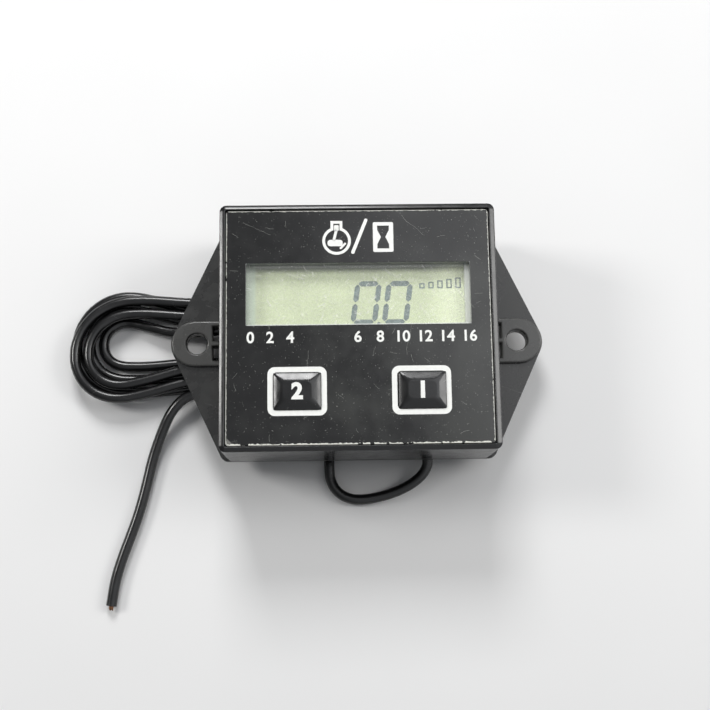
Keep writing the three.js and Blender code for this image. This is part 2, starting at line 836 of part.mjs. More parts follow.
// The hank as one unbroken tube of rings.
function leadHank() {
  const path = hankStations().map(hankPoint);
  const up = new THREE.Vector3(0, 0, 1);
  const places = [];
  const faces = [];
  path.forEach((middle, i) => {
    const ahead = path[Math.min(i + 1, path.length - 1)].clone();
    const along = ahead.sub(path[Math.max(i - 1, 0)]).normalize();
    if (i === 0 || i === path.length - 1) along.set(-1, 0, 0);
    const side = new THREE.Vector3().crossVectors(along, up).normalize();
    const top = new THREE.Vector3().crossVectors(side, along);
    for (let k = 0; k < hank_sides; k += 1) {
      const angle = (2 * Math.PI * k) / hank_sides;
      const place = middle.clone();
      place.addScaledVector(side, (lead_diameter / 2) * Math.cos(angle));
      place.addScaledVector(top, (lead_diameter / 2) * Math.sin(angle));
      places.push(place.x, place.y, place.z);
      if (i === 0) continue;
      const here = i * hank_sides + k;
      const next = i * hank_sides + ((k + 1) % hank_sides);
      faces.push(here - hank_sides, here, next, here - hank_sides, next, next - hank_sides);
    }
  });
  const last = (path.length - 1) * hank_sides;
  for (let k = 1; k < hank_sides - 1; k += 1) {
    faces.push(0, k, k + 1, last, last + k + 1, last + k);
  }
  const geometry = new THREE.BufferGeometry();
  geometry.setAttribute("position", new THREE.Float32BufferAttribute(places, 3));
  geometry.setIndex(faces);
  return solidOf(geometry);
}

// The least gap between the hank's turns, measured on points along it, and its length.
function measureHank() {
  const count = Math.round(hank_turns * hank_measure_steps);
  const points = [];
  for (let i = 0; i <= count; i += 1) points.push(hankPoint((hank_turns * i) / count));
  let length = 0;
  for (let i = 1; i <= count; i += 1) length += points[i].distanceTo(points[i - 1]);
  const skip = Math.round((count / length) * 4 * lead_diameter);
  let least = Infinity;
  for (let i = 0; i <= count; i += 1) {
    for (let k = i + skip; k <= count; k += 1) {
      least = Math.min(least, points[i].distanceTo(points[k]));
    }
  }
  console.log("hank", length.toFixed(1), "mm, least gap", (least - lead_diameter).toFixed(3), "mm");
}

// The lead's inner tail: in from the strain relief and up to the board.
function leadTail() {
  const points = [new THREE.Vector3(exit_x, tail_start_y, exit_z)];
  for (let i = 0; i <= tail_bend_steps; i += 1) {
    const angle = (Math.PI * i) / 2 / tail_bend_steps;
    points.push(
      new THREE.Vector3(
        exit_x,
        lead_riser_y - tail_bend_radius * (1 - Math.sin(angle)),
        exit_z + tail_bend_radius * (1 - Math.cos(angle)),
      ),
    );
  }
  points.push(new THREE.Vector3(exit_x, lead_riser_y, board_back - seat_gap));
  const curve = new THREE.CatmullRomCurve3(points, false, "centripetal");
  return solidOf(
    new THREE.ExtrudeGeometry(ringShape(lead_diameter / 2, lead_sides), {
      steps: tail_steps,
      extrudePath: curve,
    }),
  );
}

// The controller's blob of resin, a dome that hangs under the board.
function blob() {
  const radius = blob_diameter / 2;
  const profile = [new THREE.Vector2(0, 0)];
  for (let i = 0; i <= round_steps; i += 1) {
    const angle = (Math.PI * i) / 2 / round_steps;
    profile.push(new THREE.Vector2(radius * Math.cos(angle), blob_height * Math.sin(angle)));
  }
  const last = profile[profile.length - 1];
  last.x = 0;
  const dome = new THREE.LatheGeometry(profile, bore_sides);
  return solidOf(dome.rotateX(-Math.PI / 2));
}

// A contact's side view: an optional leaf at its foot, a leg and a solder tab at its head.
function contactProfile(leaf, leg) {
  const half = contact_thickness / 2;
  const points = [[-half, 0], [leaf, 0]];
  if (leaf > half) points.push([leaf, contact_thickness], [half, contact_thickness]);
  points.push([half, leg - contact_thickness], [contact_tab, leg - contact_thickness]);
  points.push([contact_tab, leg], [-half, leg]);
  return new THREE.Shape(points.map(([x, y]) => new THREE.Vector2(x, y)));
}

function addCasing() {
  add("mounting_base", mountingBase(), base_plastic);
  add("front_housing", frontHousing(), casing_plastic);
  add("housing_gasket", housingGasket(), rubber);
  add("front_panel", frontPanel(), panel_gloss);
  add("battery_cover", batteryCover(), base_plastic, compartment_x);
  add("battery_cover_seal", coverSeal(), rubber, compartment_x);
  corners(cover_post_x, cover_post_y).forEach(([x, y], i) => {
    const name = "cover_screw_" + (i + 1);
    add(name, screw(cover_screw_length), steel, compartment_x + x, y, screw_head_sink);
  });
}

function addDisplay() {
  const pane = block(
    window_width + 2 * pane_margin, window_height + 2 * pane_margin, -pane_thickness, 0,
  );
  add("display_window", pane, clear_pane, 0, window_y, panel_back);
  const front_glass = block(glass_width, glass_height, 0, glass_thickness);
  add("lcd_front_glass", front_glass, display_glass, 0, window_y, glass_back);
  const back_glass = block(glass_width, back_glass_height, 0, glass_thickness);
  add("lcd_back_glass", back_glass, display_glass, 0, window_y, back_glass_back);
  const film = block(
    glass_width - 2 * reflector_inset, back_glass_height - 2 * reflector_inset,
    -reflector_thickness, 0,
  );
  add("lcd_reflector", film, reflector_film, 0, window_y, back_glass_back);
  add("lcd_holder", lcdHolder(), switch_plastic, 0, window_y);
  const strip = block(strip_length, strip_width, board_front, glass_back);
  add("contact_strip_upper", strip, rubber, 0, window_y + strip_y);
  add("contact_strip_lower", strip, rubber, 0, window_y - strip_y);
}

// A place on the board as shares of half its width and half its height.
function onBoard([x_share, y_share]) {
  return [(x_share * board_width) / 2, (y_share * board_height) / 2];
}

function addBoard() {
  add("circuit_board", circuitBoard(), laminate);
  add("controller_blob", blob(), chip_body, ...onBoard(blob_place_shares), board_back);
  const can = new THREE.CylinderGeometry(
    crystal_diameter / 2, crystal_diameter / 2, crystal_length, small_sides,
  );
  const crystal_z = board_back - crystal_diameter / 2;
  add("quartz_crystal", solidOf(can), nickel, ...onBoard(crystal_place_shares), crystal_z);
  const capacitor = bar(capacitor_diameter / 2, -capacitor_height, 0);
  const capacitor_place = onBoard(capacitor_place_shares);
  add("storage_capacitor", capacitor, capacitor_sleeve, ...capacitor_place, board_back);
  const chip = block(chip_length, chip_width, -chip_height, 0);
  for (let i = 0; i < 3; i += 1) {
    const [x, y] = onBoard(resistor_place_shares);
    add("input_resistor_" + (i + 1), chip, chip_body, x, y + i * chip_pitch, board_back);
  }
  for (let i = 0; i < 2; i += 1) {
    const [x, y] = onBoard(filter_place_shares);
    add("filter_capacitor_" + (i + 1), chip, nickel, x, y + i * chip_pitch, board_back);
  }
  corners(board_post_x, board_post_y).forEach(([x, y], i) => {
    add("board_screw_" + (i + 1), screw(board_screw_length), steel, x, y, board_screw_back);
  });
}

function addKeys() {
  const well = bar(
    plunger_diameter / 2 + key_gap, switch_body_height - switch_well_depth,
    switch_body_height + overrun,
  );
  const body = block(switch_size, switch_size, 0, switch_body_height).subtract(well);
  const foot = switch_body_height - switch_well_depth + key_rest_gap;
  const plunger = bar(plunger_diameter / 2, foot, switch_body_height + plunger_rise);
  for (const [side, name] of [[-1, "left"], [1, "right"]]) {
    const x = (side * key_spacing) / 2;
    add("key_cap_" + name, keyCap(), key_gloss, x, key_y, panel_front);
    add("key_switch_" + name, body, switch_plastic, x, key_y, board_front);
    add("key_plunger_" + name, plunger, switch_plastic, x, key_y, board_front);
  }
}

function addBattery() {
  add("coin_cell", coinCell(), nickel, compartment_x, cell_y, cell_back);
  const leg = board_back - seat_gap - leaf_back;
  const negative = bentStrip(contactProfile(contact_reach, leg), contact_width);
  add("battery_contact_negative", negative, nickel, negative_leg_x, cell_y, leaf_back);
  const foot = cell_back + contact_width / 2;
  const positive = bentStrip(
    contactProfile(contact_thickness / 2, board_back - seat_gap - foot), contact_width,
  );
  const mesh = add(
    "battery_contact_positive", positive, nickel, compartment_x, positive_leg_y, foot,
  );
  mesh.rotation.z = -Math.PI / 2;
}

function addLead() {
  add("lead_grommet", leadGrommet(), rubber, exit_x, grommet_y, exit_z);
  add("lead_tail", leadTail(), lead_sleeve);
  add("lead_loop", leadStretch(loop_route), lead_sleeve);
  add("lead_hank", leadHank(), lead_sleeve);
  add("lead_free_end", leadStretch(free_route), lead_sleeve);
  const [before, end] = free_route.slice(-2);
  const core = new THREE.CylinderGeometry(
    core_diameter / 2, core_diameter / 2, core_length, small_sides,
  );
  core.translate(0, core_length / 2 + seat_gap, 0);
  const mesh = add("lead_core", solidOf(core), copper, ...end);
  mesh.rotation.z = Math.atan2(end[1] - before[1], end[0] - before[0]) - Math.PI / 2;
}

addCasing();
addDisplay();
addBoard();
addKeys();
addBattery();
addLead();
measureHank();

export default tachometer;
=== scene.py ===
"""A small digital tachometer with two keys and a wound pickup lead, dressed round its CAD frame.

Sizes in this file are in millimetres unless a name says otherwise, and become metres when a
piece is finished. +X runs to the right of the dial, +Y up the dial and +Z out of it.
"""
import math

import bmesh
import bpy
from mathutils import Matrix, Vector


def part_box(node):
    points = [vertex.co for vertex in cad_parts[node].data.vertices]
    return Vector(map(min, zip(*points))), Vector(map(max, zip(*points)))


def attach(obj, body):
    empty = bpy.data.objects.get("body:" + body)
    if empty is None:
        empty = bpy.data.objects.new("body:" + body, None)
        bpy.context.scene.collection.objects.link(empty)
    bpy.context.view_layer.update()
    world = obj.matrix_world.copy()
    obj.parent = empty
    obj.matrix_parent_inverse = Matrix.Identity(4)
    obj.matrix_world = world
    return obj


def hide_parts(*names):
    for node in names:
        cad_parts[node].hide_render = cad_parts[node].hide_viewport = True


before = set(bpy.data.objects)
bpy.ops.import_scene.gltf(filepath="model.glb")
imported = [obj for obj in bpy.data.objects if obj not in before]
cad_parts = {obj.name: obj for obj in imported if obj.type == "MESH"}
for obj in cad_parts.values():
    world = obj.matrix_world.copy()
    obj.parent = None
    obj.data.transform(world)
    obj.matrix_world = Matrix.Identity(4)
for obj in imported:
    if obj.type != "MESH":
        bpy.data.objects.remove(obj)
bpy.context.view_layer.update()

bl_info = {
    "name": "Digital tachometer",
    "version": (1, 0, 0),
    "blender": (4, 5, 0),
    "location": "3D View > Sidebar > Tachometer",
    "description": "Builds the looks of a digital tachometer round its CAD frame",
    "category": "Object",
}

MM = 0.001
RIM_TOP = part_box("front_housing")[1].z / MM
PANEL_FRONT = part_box("front_panel")[1].z / MM
GLASS_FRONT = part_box("lcd_front_glass")[1].z / MM
KEY_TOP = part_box("key_cap_left")[1].z / MM
KEY_CENTRES = {
    side: (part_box(f"key_cap_{side}")[0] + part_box(f"key_cap_{side}")[1]) / 2 / MM
    for side in ("left", "right")
}

# How far the pane reaches behind the panel, past the opening.
PANE_MARGIN = 1.0
# Half a key cap in X and in Y.
CAP_HALF = (4.275, 3.35)
# The outer edges of the white frames round the keys: left, bottom, right and top.
KEY_FRAMES = ((-16.37, -16.2, -5.85, -7.45), (5.7, -16.2, 16.25, -7.45))
# The printed numbers: the middle of their line in Y, and the middle of each in X.
SCALE_MIDDLE = -2.05
SCALE_PLACES = {0: -19.4, 2: -15.9, 4: -12.3, 6: -0.2, 8: 3.8, 10: 8.0, 12: 12.0, 14: 16.0,
                16: 20.0}
# The two display digits, the point between them, and the gap between their segments.
DIGIT_LEFTS = (-1.54, 4.15)
DIGIT_BOTTOM = 0.66
DIGIT_POINT = (3.68, 0.86)
SEGMENT_GAP = 0.1
# How far the segments and the numbers on the keys stand off what is under them.
INK_RISE = 0.03
# The least angles in degrees at which an edge is rounded, and at which it is shaded as one.
ROUNDED_ANGLE = 50
SHADED_ANGLE = 35

# The lead: its turns in the hank, the point where it leaves the meter, and its route before
# the hank and from the hank to its bare end.
HANK_TURNS = 5.147
LEAD_EXIT = (13.2, -21.1, 3.3)
LOOP_ROUTE = (
    LEAD_EXIT, (13.2, -22.3, 3.3), (13.1, -23.4, 3.15), (12.4, -24.8, 2.8),
    (11.1, -26.1, 2.35), (9.2, -27.3, 1.85), (6.6, -28.4, 1.4), (3.6, -29.2, 1.12),
    (0.5, -29.6, 1.05), (-2, -29.3, 1.05), (-4.1, -28, 1.05), (-5.3, -26, 1.05),
    (-5.6, -23.6, 1.05), (-5.6, -21, 1.05), (-5.6, -18.5, 1.05), (-5.6, -16.3, 1.05),
    (-5.6, -14.25, 1.05), (-5.93, -12.6, 1.05), (-6.86, -11.21, 1.05), (-8.25, -10.28, 1.05),
    (-9.9, -9.95, 1.05), (-11.4, -9.95, 1.05),
)
FREE_ROUTE = (
    (-30.5, -9, 3.47), (-31.7, -9.2, 3.45), (-32.8, -9.62, 3.4), (-33.8, -10.25, 3.3),
    (-34.8, -11.15, 3.12), (-35.75, -12.3, 2.85), (-36.7, -13.85, 2.45), (-37.55, -15.7, 2),
    (-38.33, -17.59, 1.62), (-39.01, -19.48, 1.32), (-39.62, -21.48, 1.12),
    (-40.5, -25.31, 1.05), (-41.4, -29.12, 1.05), (-42.5, -32.9, 1.05), (-43.82, -36.66, 1.05),
    (-45.15, -40.39, 1.05), (-46.2, -44.1, 1.05), (-46.8, -47.8, 1.05), (-46.95, -48.91, 1.05),
)


# Sizes and colours

def length(name, description, millimetres):
    """A size that a user can change, with its default in millimetres."""
    return bpy.props.FloatProperty(
        name=name, description=description, default=millimetres * MM, min=0.0, precision=5,
        subtype="DISTANCE", unit="LENGTH")


def colour(name, description, red, green, blue):
    """A colour that a user can change."""
    return bpy.props.FloatVectorProperty(
        name=name, description=description, default=(red, green, blue), min=0.0, max=1.0,
        size=3, subtype="COLOR")


class MeterSizes(bpy.types.PropertyGroup):
    """Sizes of the details that stand on the CAD frame."""
    edge: length("Moulded edge", "Rounding of the moulded plastic's edges", 0.14)
    wing_edge: length("Wing edge", "Rounding of the mounting base's edges", 0.4)
    key_slope: length("Key slope", "Width of the sloping border of each key cap", 1.3)
    print_height: length("Print height", "How far the white print stands off the panel", 0.02)
    frame_line: length("Key frame line", "Width of the white line round each key", 0.95)
    symbol_line: length("Symbol line", "Width of the lines of the two symbols", 0.52)
    numeral_height: length("Numeral height", "Height of the printed scale numbers", 2.1)
    label_height: length("Key number height", "Height of the number on each key", 3.1)
    digit_width: length("Digit width", "Width of a display digit", 4.85)
    digit_height: length("Digit height", "Height of a display digit", 8.1)
    digit_stroke: length("Digit stroke", "Width of a display digit's segments", 0.96)
    lead_diameter: length("Lead diameter", "Outer diameter of the pickup lead", 2.0)
    digit_slant: bpy.props.FloatProperty(
        name="Digit slant", description="How far a digit leans over its height",
        default=0.14, min=0.0, max=0.4, subtype="FACTOR")


class MeterColours(bpy.types.PropertyGroup):
    """Base colours of the finishes."""
    casing: colour("Casing", "Black moulded casing", 0.006, 0.006, 0.0062)
    base: colour("Base", "Dark grey moulded mounting base", 0.021, 0.021, 0.02)
    panel: colour("Panel", "Glossy black front panel", 0.005, 0.005, 0.005)
    cap: colour("Key caps", "Glossy black key caps", 0.004, 0.004, 0.0042)
    ink: colour("Print", "White printing ink", 0.86, 0.87, 0.84)
    display: colour("Display", "Pale green ground of the display", 0.64, 0.71, 0.47)
    digits: colour("Digits", "Blue grey of the switched segments", 0.145, 0.197, 0.19)
    lead: colour("Lead", "Black PVC sleeve of the lead", 0.004, 0.004, 0.0042)
    copper: colour("Copper", "Dull bare strands at the lead's end", 0.2, 0.105, 0.06)
    floor: colour("Floor", "Plain pale floor", 0.8, 0.8, 0.8)


def sizes():
    return bpy.context.scene.meter_sizes


def colours():
    return bpy.context.scene.meter_colours


def in_mm(name):
    """One of the sizes, in millimetres."""
    return getattr(sizes(), name) / MM


# Shader groups

def put(tree, kind, sockets=None, **settings):
    """A shader node with its settings, and its sockets set or linked."""
    made = tree.nodes.new("ShaderNode" + kind)
    for key, value in settings.items():
        setattr(made, key, value)
    for key, value in (sockets or {}).items():
        if isinstance(value, bpy.types.NodeSocket):
            tree.links.new(value, made.inputs[key])
        else:
            made.inputs[key].default_value = value
    return made


def calc(tree, kind, *values):
    """The result of a Math node."""
    return put(tree, "Math", dict(enumerate(values)), operation=kind).outputs[0]


def largest(tree, first, *others):
    """The largest of some masks."""
    for other in others:
        first = calc(tree, "MAXIMUM", first, other)
    return first


def mixed(tree, mask, below, above):
    """The colour below, with the colour above where the mask is 1."""
    return put(tree, "Mix", {0: mask, 6: below, 7: above}, data_type="RGBA").outputs[2]


def layered(tree, below, *layers):
    """A colour with others laid over it in turn, each with its mask."""
    for mask, above in layers:
        below = mixed(tree, mask, below, above)
    return below


def ramp(tree, value, low, high, to_low=0.0, to_high=1.0):
    """A smooth step of a value from one range to another."""
    return put(tree, "MapRange", {"Value": value, "From Min": low, "From Max": high,
                                  "To Min": to_low, "To Max": to_high},
               interpolation_type="SMOOTHSTEP").outputs[0]


def axes(tree, place):
    """The X, Y and Z of a place."""
    return put(tree, "SeparateXYZ", {0: place}).outputs


def noise(tree, place, scale, detail, roughness=0.5):
    """A cloudy value round 0.5."""
    return put(tree, "TexNoise", {"Vector": place, "Scale": scale, "Detail": detail,
                                  "Roughness": roughness}).outputs[0]


def warped(tree, place, scale, detail, reach):
    """A place pushed about by noise, so that a pattern on it looks irregular."""
    push = put(tree, "TexNoise", {"Vector": place, "Scale": scale, "Detail": detail})
    return put(tree, "VectorMath", {0: push.outputs["Color"], 1: (reach,) * 3, 2: place},
               operation="MULTIPLY_ADD").outputs[0]


def shared(name, inputs, outputs, fill):
    """A shader node group by name, made the first time that it is asked for."""
    tree = bpy.data.node_groups.get(name)
    if tree is None:
        tree = bpy.data.node_groups.new(name, "ShaderNodeTree")
        for label, kind in inputs:
            tree.interface.new_socket(label, in_out="INPUT", socket_type="NodeSocket" + kind)
        for label in outputs:
            tree.interface.new_socket(label, in_out="OUTPUT", socket_type="NodeSocketFloat")
        start, end = tree.nodes.new("NodeGroupInput"), tree.nodes.new("NodeGroupOutput")
        for label, value in zip(outputs, fill(tree, start.outputs)):
            tree.links.new(value, end.inputs[label])
    return tree


def fill_grain(tree, given):
    """Fine noise and cells for the height, and a broad mottle."""
    place = given["Place"]
    shrunk = put(tree, "VectorMath", {0: place, 3: calc(tree, "DIVIDE", 1.0, given["Size"])},
                 operation="SCALE").outputs[0]
    fine = noise(tree, shrunk, 1.0, 4.0, 0.6)
    cells = put(tree, "TexVoronoi", {"Vector": shrunk, "Scale": 0.7}).outputs["Distance"]
    mottle = noise(tree, place, 0.35, 5.0, 0.55)
    return calc(tree, "MULTIPLY_ADD", cells, 0.5, fine), ramp(tree, mottle, 0.3, 0.7)


def fill_dust(tree, given):
    """Round specks of chance size in a share of the cells."""
    place = warped(tree, given["Place"], scale=3.0, detail=1.0, reach=0.5)
    cells = put(tree, "TexVoronoi", {"Vector": place, "Scale": given["Scale"]}).outputs
    pick = put(tree, "SeparateColor", {0: cells["Color"]}).outputs[0]
    chosen = calc(tree, "LESS_THAN", pick, given["Amount"])
    radius = calc(tree, "MULTIPLY", calc(tree, "SQRT", pick), 0.35)
    speck = calc(tree, "LESS_THAN", cells["Distance"], radius)
    return (calc(tree, "MULTIPLY", chosen, speck),)


def fill_scratches(tree, given):
    """Long and short hairlines, a little bent by noise."""
    place = warped(tree, given["Place"], scale=0.35, detail=2.0, reach=1.2)
    flat = put(tree, "VectorMath", {0: place, 1: (1, 1, 0.2)}, operation="MULTIPLY").outputs[0]

    def hairlines(scale, reach, width, share):
        """One line in each of a share of the cells, turned by chance."""
        cells = put(tree, "TexVoronoi", {"Vector": flat, "Scale": scale}).outputs
        chance, angle, _ = put(tree, "SeparateColor", {0: cells["Color"]}).outputs
        off = put(tree, "VectorMath", {0: flat, 1: cells["Position"]}, operation="SUBTRACT")
        turned = put(tree, "VectorRotate", {"Vector": off.outputs[0],
                                            "Angle": calc(tree, "MULTIPLY", angle, 6.3)},
                     rotation_type="Z_AXIS").outputs[0]
        along, across, _ = axes(tree, turned)
        narrow = calc(tree, "LESS_THAN", calc(tree, "ABSOLUTE", across),
                      calc(tree, "MULTIPLY", given["Width"], width))
        short = calc(tree, "LESS_THAN", calc(tree, "ABSOLUTE", along), reach)
        chosen = calc(tree, "LESS_THAN", chance, share)
        return calc(tree, "MULTIPLY", calc(tree, "MULTIPLY", narrow, short), chosen)

    lines = largest(tree, hairlines(scale=0.11, reach=2.8, width=0.016, share=0.22),
                    hairlines(scale=0.32, reach=0.7, width=0.018, share=0.16))
    return (calc(tree, "MULTIPLY", lines, given["Amount"]),)


def grain(tree, place, size):
    """The height and the mottle of a moulded surface."""
    group = shared("moulded_grain", [("Place", "Vector"), ("Size", "Float")],
                   ["Height", "Mottle"], fill_grain)
    return put(tree, "Group", {"Place": place, "Size": size}, node_tree=group).outputs


def dust(tree, place, amount, scale=1.6):
    """A mask of small scattered specks."""
    group = shared("dust_specks", [("Place", "Vector"), ("Amount", "Float"), ("Scale", "Float")],
                   ["Mask"], fill_dust)
    return put(tree, "Group", {"Place": place, "Amount": amount, "Scale": scale},
               node_tree=group).outputs["Mask"]


def scratches(tree, place, amount, width=1.0):
    """A mask of fine handling scratches."""
    group = shared("handling_scratches",
                   [("Place", "Vector"), ("Amount", "Float"), ("Width", "Float")],
                   ["Mask"], fill_scratches)
    return put(tree, "Group", {"Place": place, "Amount": amount, "Width": width},
               node_tree=group).outputs["Mask"]


# Materials

# The film's colour, also used as a painted reflection on the panel.
PANEL_FILM_AND_SHEEN = (0.028, 0.029, 0.027, 1)
PANEL_GLUE = (0.5, 0.5, 0.46, 1)
PANEL_MARKS = (0.4, 0.41, 0.38, 1)
# A pale colour painted on the opening's walls as painted light.
OPENING_WALL_LIGHT = (0.24, 0.25, 0.25, 1)
SAWN_EDGE = (0.72, 0.72, 0.66, 1)
CAP_MARKS = (0.3, 0.3, 0.29, 1)
# Painted shade for the display's top, and painted light for its foot and sides.
DISPLAY_TOP_SHADE = (0.2, 0.21, 0.21, 1)
DISPLAY_FOOT_LIGHT = (0.8, 0.86, 0.68, 1)
DISPLAY_LEFT_LIGHT = (0.66, 0.84, 0.66, 1)
DISPLAY_RIGHT_LIGHT = (0.86, 0.93, 0.66, 1)
# The pane's haze colour, also used for painted light along its edges.
PANE_HAZE_AND_LIGHT = (0.8, 0.82, 0.8, 1)
PANE_MARKS = (0.95, 0.96, 0.9, 1)
LEAD_MARKS = (0.16, 0.16, 0.155, 1)
DUST_GREY = 0.12


def blank(name, **constants):
    """A new material, its tree, its shader, and the object's own millimetres."""
    material = bpy.data.materials.new(name)
    material.use_nodes = True
    tree = material.node_tree
    shader = tree.nodes["Principled BSDF"]
    for key, value in constants.items():
        shader.inputs[key.replace("_", " ")].default_value = value
    coordinates = put(tree, "TexCoord").outputs["Object"]
    place = put(tree, "Mapping", {"Vector": coordinates, "Scale": (1 / MM,) * 3}).outputs[0]
    return material, tree, shader, place


def feed(tree, shader, **values):
    """Links values to the shader's sockets, by their names with an underscore for a space."""
    for key, value in values.items():
        tree.links.new(value, shader.inputs[key.replace("_", " ")])


def tone(base, factor):
    """A colour made darker or paler."""
    return (*[min(1.0, c * factor) for c in base], 1.0)


def bump(tree, shader, height, depth):
    """Raises the surface by a pattern, with its depth in millimetres."""
    made = put(tree, "Bump", {"Height": height, "Strength": 1.0, "Distance": depth * MM})
    feed(tree, shader, Normal=made.outputs[0])


def depth_inside(tree, place, node):
    """How far a place lies inside the outline of a CAD node, in millimetres."""
    low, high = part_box(node)
    depths = []
    for value, start, stop in zip(axes(tree, place), low.xy, high.xy):
        off_middle = calc(tree, "SUBTRACT", value, (start + stop) / 2 / MM)
        depths.append(calc(tree, "SUBTRACT", (stop - start) / 2 / MM,
                           calc(tree, "ABSOLUTE", off_middle)))
    return calc(tree, "MINIMUM", *depths)


def moulded(name, base, rough, size=0.18, depth=0.006, specks=0.03, spread=0.25, rubbed=0.0,
            paler_above=None, **constants):
    """Moulded or rolled stuff: grained, mottled, dusty and scratched, and paler above a level.
    The grain's size and depth are in millimetres, and the spread is that of its tones."""
    material, tree, shader, place = blank(name, **constants)
    skin = grain(tree, place, size)
    marks = largest(tree, dust(tree, place, specks), scratches(tree, place, rubbed))
    body = mixed(tree, skin["Mottle"], tone(base, 1 - spread), tone(base, 1 + spread))
    if paler_above is not None:
        raised = ramp(tree, axes(tree, place)[2], paler_above, paler_above + 0.2)
        body = mixed(tree, raised, body, tone(base, 2.5))
    body = mixed(tree, marks, body, tone([max(c, DUST_GREY) for c in base], 1.6))
    feed(tree, shader, Base_Color=body,
         Roughness=ramp(tree, skin["Mottle"], 0.0, 1.0, rough * 0.85, rough * 1.15))
    bump(tree, shader, skin["Height"], depth)
    return material


def glossy_panel(name):
    """The black front panel: polished, scratched and dusty, with a rough sawn edge, a painted
    reflection to the right and downwards, and painted light on the opening's walls.
    """
    material, tree, shader, place = blank(name)
    x, y, _ = axes(tree, place)
    # The sawn edge is broken and uneven, and widest along the panel's lower side.
    lower = ramp(tree, y, -20.4, -21.0)
    reach = calc(tree, "MULTIPLY", ramp(tree, noise(tree, place, 2.2, 6.0), 0.3, 0.72, 0.1, 0.24),
                 calc(tree, "MULTIPLY_ADD", lower, 0.6, 1.0))
    kept = calc(tree, "GREATER_THAN", noise(tree, place, 0.9, 4.0),
                ramp(tree, lower, 0.0, 1.0, 0.34, 0.43))
    edge = calc(tree, "LESS_THAN", depth_inside(tree, place, "front_panel"), reach)
    sawn = calc(tree, "MULTIPLY", kept, edge)
    specks = largest(tree, dust(tree, place, 0.05, 1.9),
                     calc(tree, "MULTIPLY", dust(tree, place, 0.36, 3.0), 0.45))
    marks = largest(tree, scratches(tree, place, 0.55), calc(tree, "MULTIPLY", specks, 0.9))
    # A thin film and a painted reflection of the brighter room grow to the right and downwards, and
    # glue shows in the lower left corner.
    cloud = calc(tree, "MULTIPLY_ADD", y, -0.003, noise(tree, place, 0.09, 4.0))
    film_and_sheen = ramp(tree, calc(tree, "MULTIPLY_ADD", x, 0.008, cloud), 0.42, 0.8)
    glue = ramp(tree, calc(tree, "ADD", x, y), -43.5, -43.7, 0.0, 0.3)
    # The opening's walls are painted pale: painted light where the lamps hardly reach them.
    opening = calc(tree, "GREATER_THAN", depth_inside(tree, place, "display_window"),
                   PANE_MARGIN - 0.03)
    skin = grain(tree, place, 1.4)
    base = colours().panel
    body = layered(tree, mixed(tree, skin["Mottle"], tone(base, 0.8), tone(base, 1.4)),
                   (film_and_sheen, PANEL_FILM_AND_SHEEN), (glue, PANEL_GLUE), (marks, PANEL_MARKS),
                   (opening, OPENING_WALL_LIGHT), (sawn, SAWN_EDGE))
    feed(tree, shader, Base_Color=body,
         Roughness=ramp(tree, largest(tree, sawn, skin["Mottle"]), 0.0, 1.0, 0.15, 0.21))
    bump(tree, shader, skin["Height"], 0.0012)
    return material


def glossy_cap(name):
    """A key cap: polished black, with dust and fine scratches."""
    material, tree, shader, place = blank(name)
    skin = grain(tree, place, 0.5)
    marks = largest(tree, scratches(tree, place, 0.5), dust(tree, place, 0.1, 2.6))
    base = colours().cap
    body = mixed(tree, skin["Mottle"], tone(base, 0.8), tone(base, 1.3))
    feed(tree, shader, Base_Color=mixed(tree, marks, body, CAP_MARKS),
         Roughness=ramp(tree, skin["Mottle"], 0.0, 1.0, 0.16, 0.26))
    bump(tree, shader, skin["Height"], 0.002)
    return material


def printed(name):
    """White screen print, a little uneven, with small worn specks."""
    material, tree, shader, place = blank(name)
    cloud = noise(tree, place, 1.4, 4.0)
    worn = dust(tree, place, 0.06, 5.0)
    ink = colours().ink
    body = mixed(tree, ramp(tree, cloud, 0.35, 0.65), tone(ink, 0.98), tone(ink, 1.02))
    feed(tree, shader, Base_Color=mixed(tree, worn, body, tone(ink, 0.55)),
         Roughness=ramp(tree, cloud, 0.3, 0.7, 0.38, 0.55))
    return material


def display_ground(name):
    """The display's pale ground, with painted shade along its top under the window's frame and
    painted light along its foot and sides.
    """
    material, tree, shader, place = blank(name)
    x, y, _ = axes(tree, place)
    base = colours().display
    cloud = noise(tree, place, 0.12, 3.0)
    body = mixed(tree, ramp(tree, cloud, 0.3, 0.7), tone(base, 0.95), tone(base, 1.05))
    # Painted shade darkens the top band; painted light brightens the foot, the left edge and the
    # right side.
    body = layered(tree, body,
                   (ramp(tree, y, 10.2, 11.4, 0.0, 0.66), DISPLAY_TOP_SHADE),
                   (ramp(tree, y, 0.9, 0.35, 0.0, 0.6), DISPLAY_FOOT_LIGHT),
                   (ramp(tree, x, -18.4, -19.0, 0.0, 0.6), DISPLAY_LEFT_LIGHT),
                   (ramp(tree, x, 12.0, 18.0), DISPLAY_RIGHT_LIGHT))
    feed(tree, shader, Base_Color=body,
         Roughness=ramp(tree, cloud, 0.3, 0.7, 0.3, 0.42))
    return material


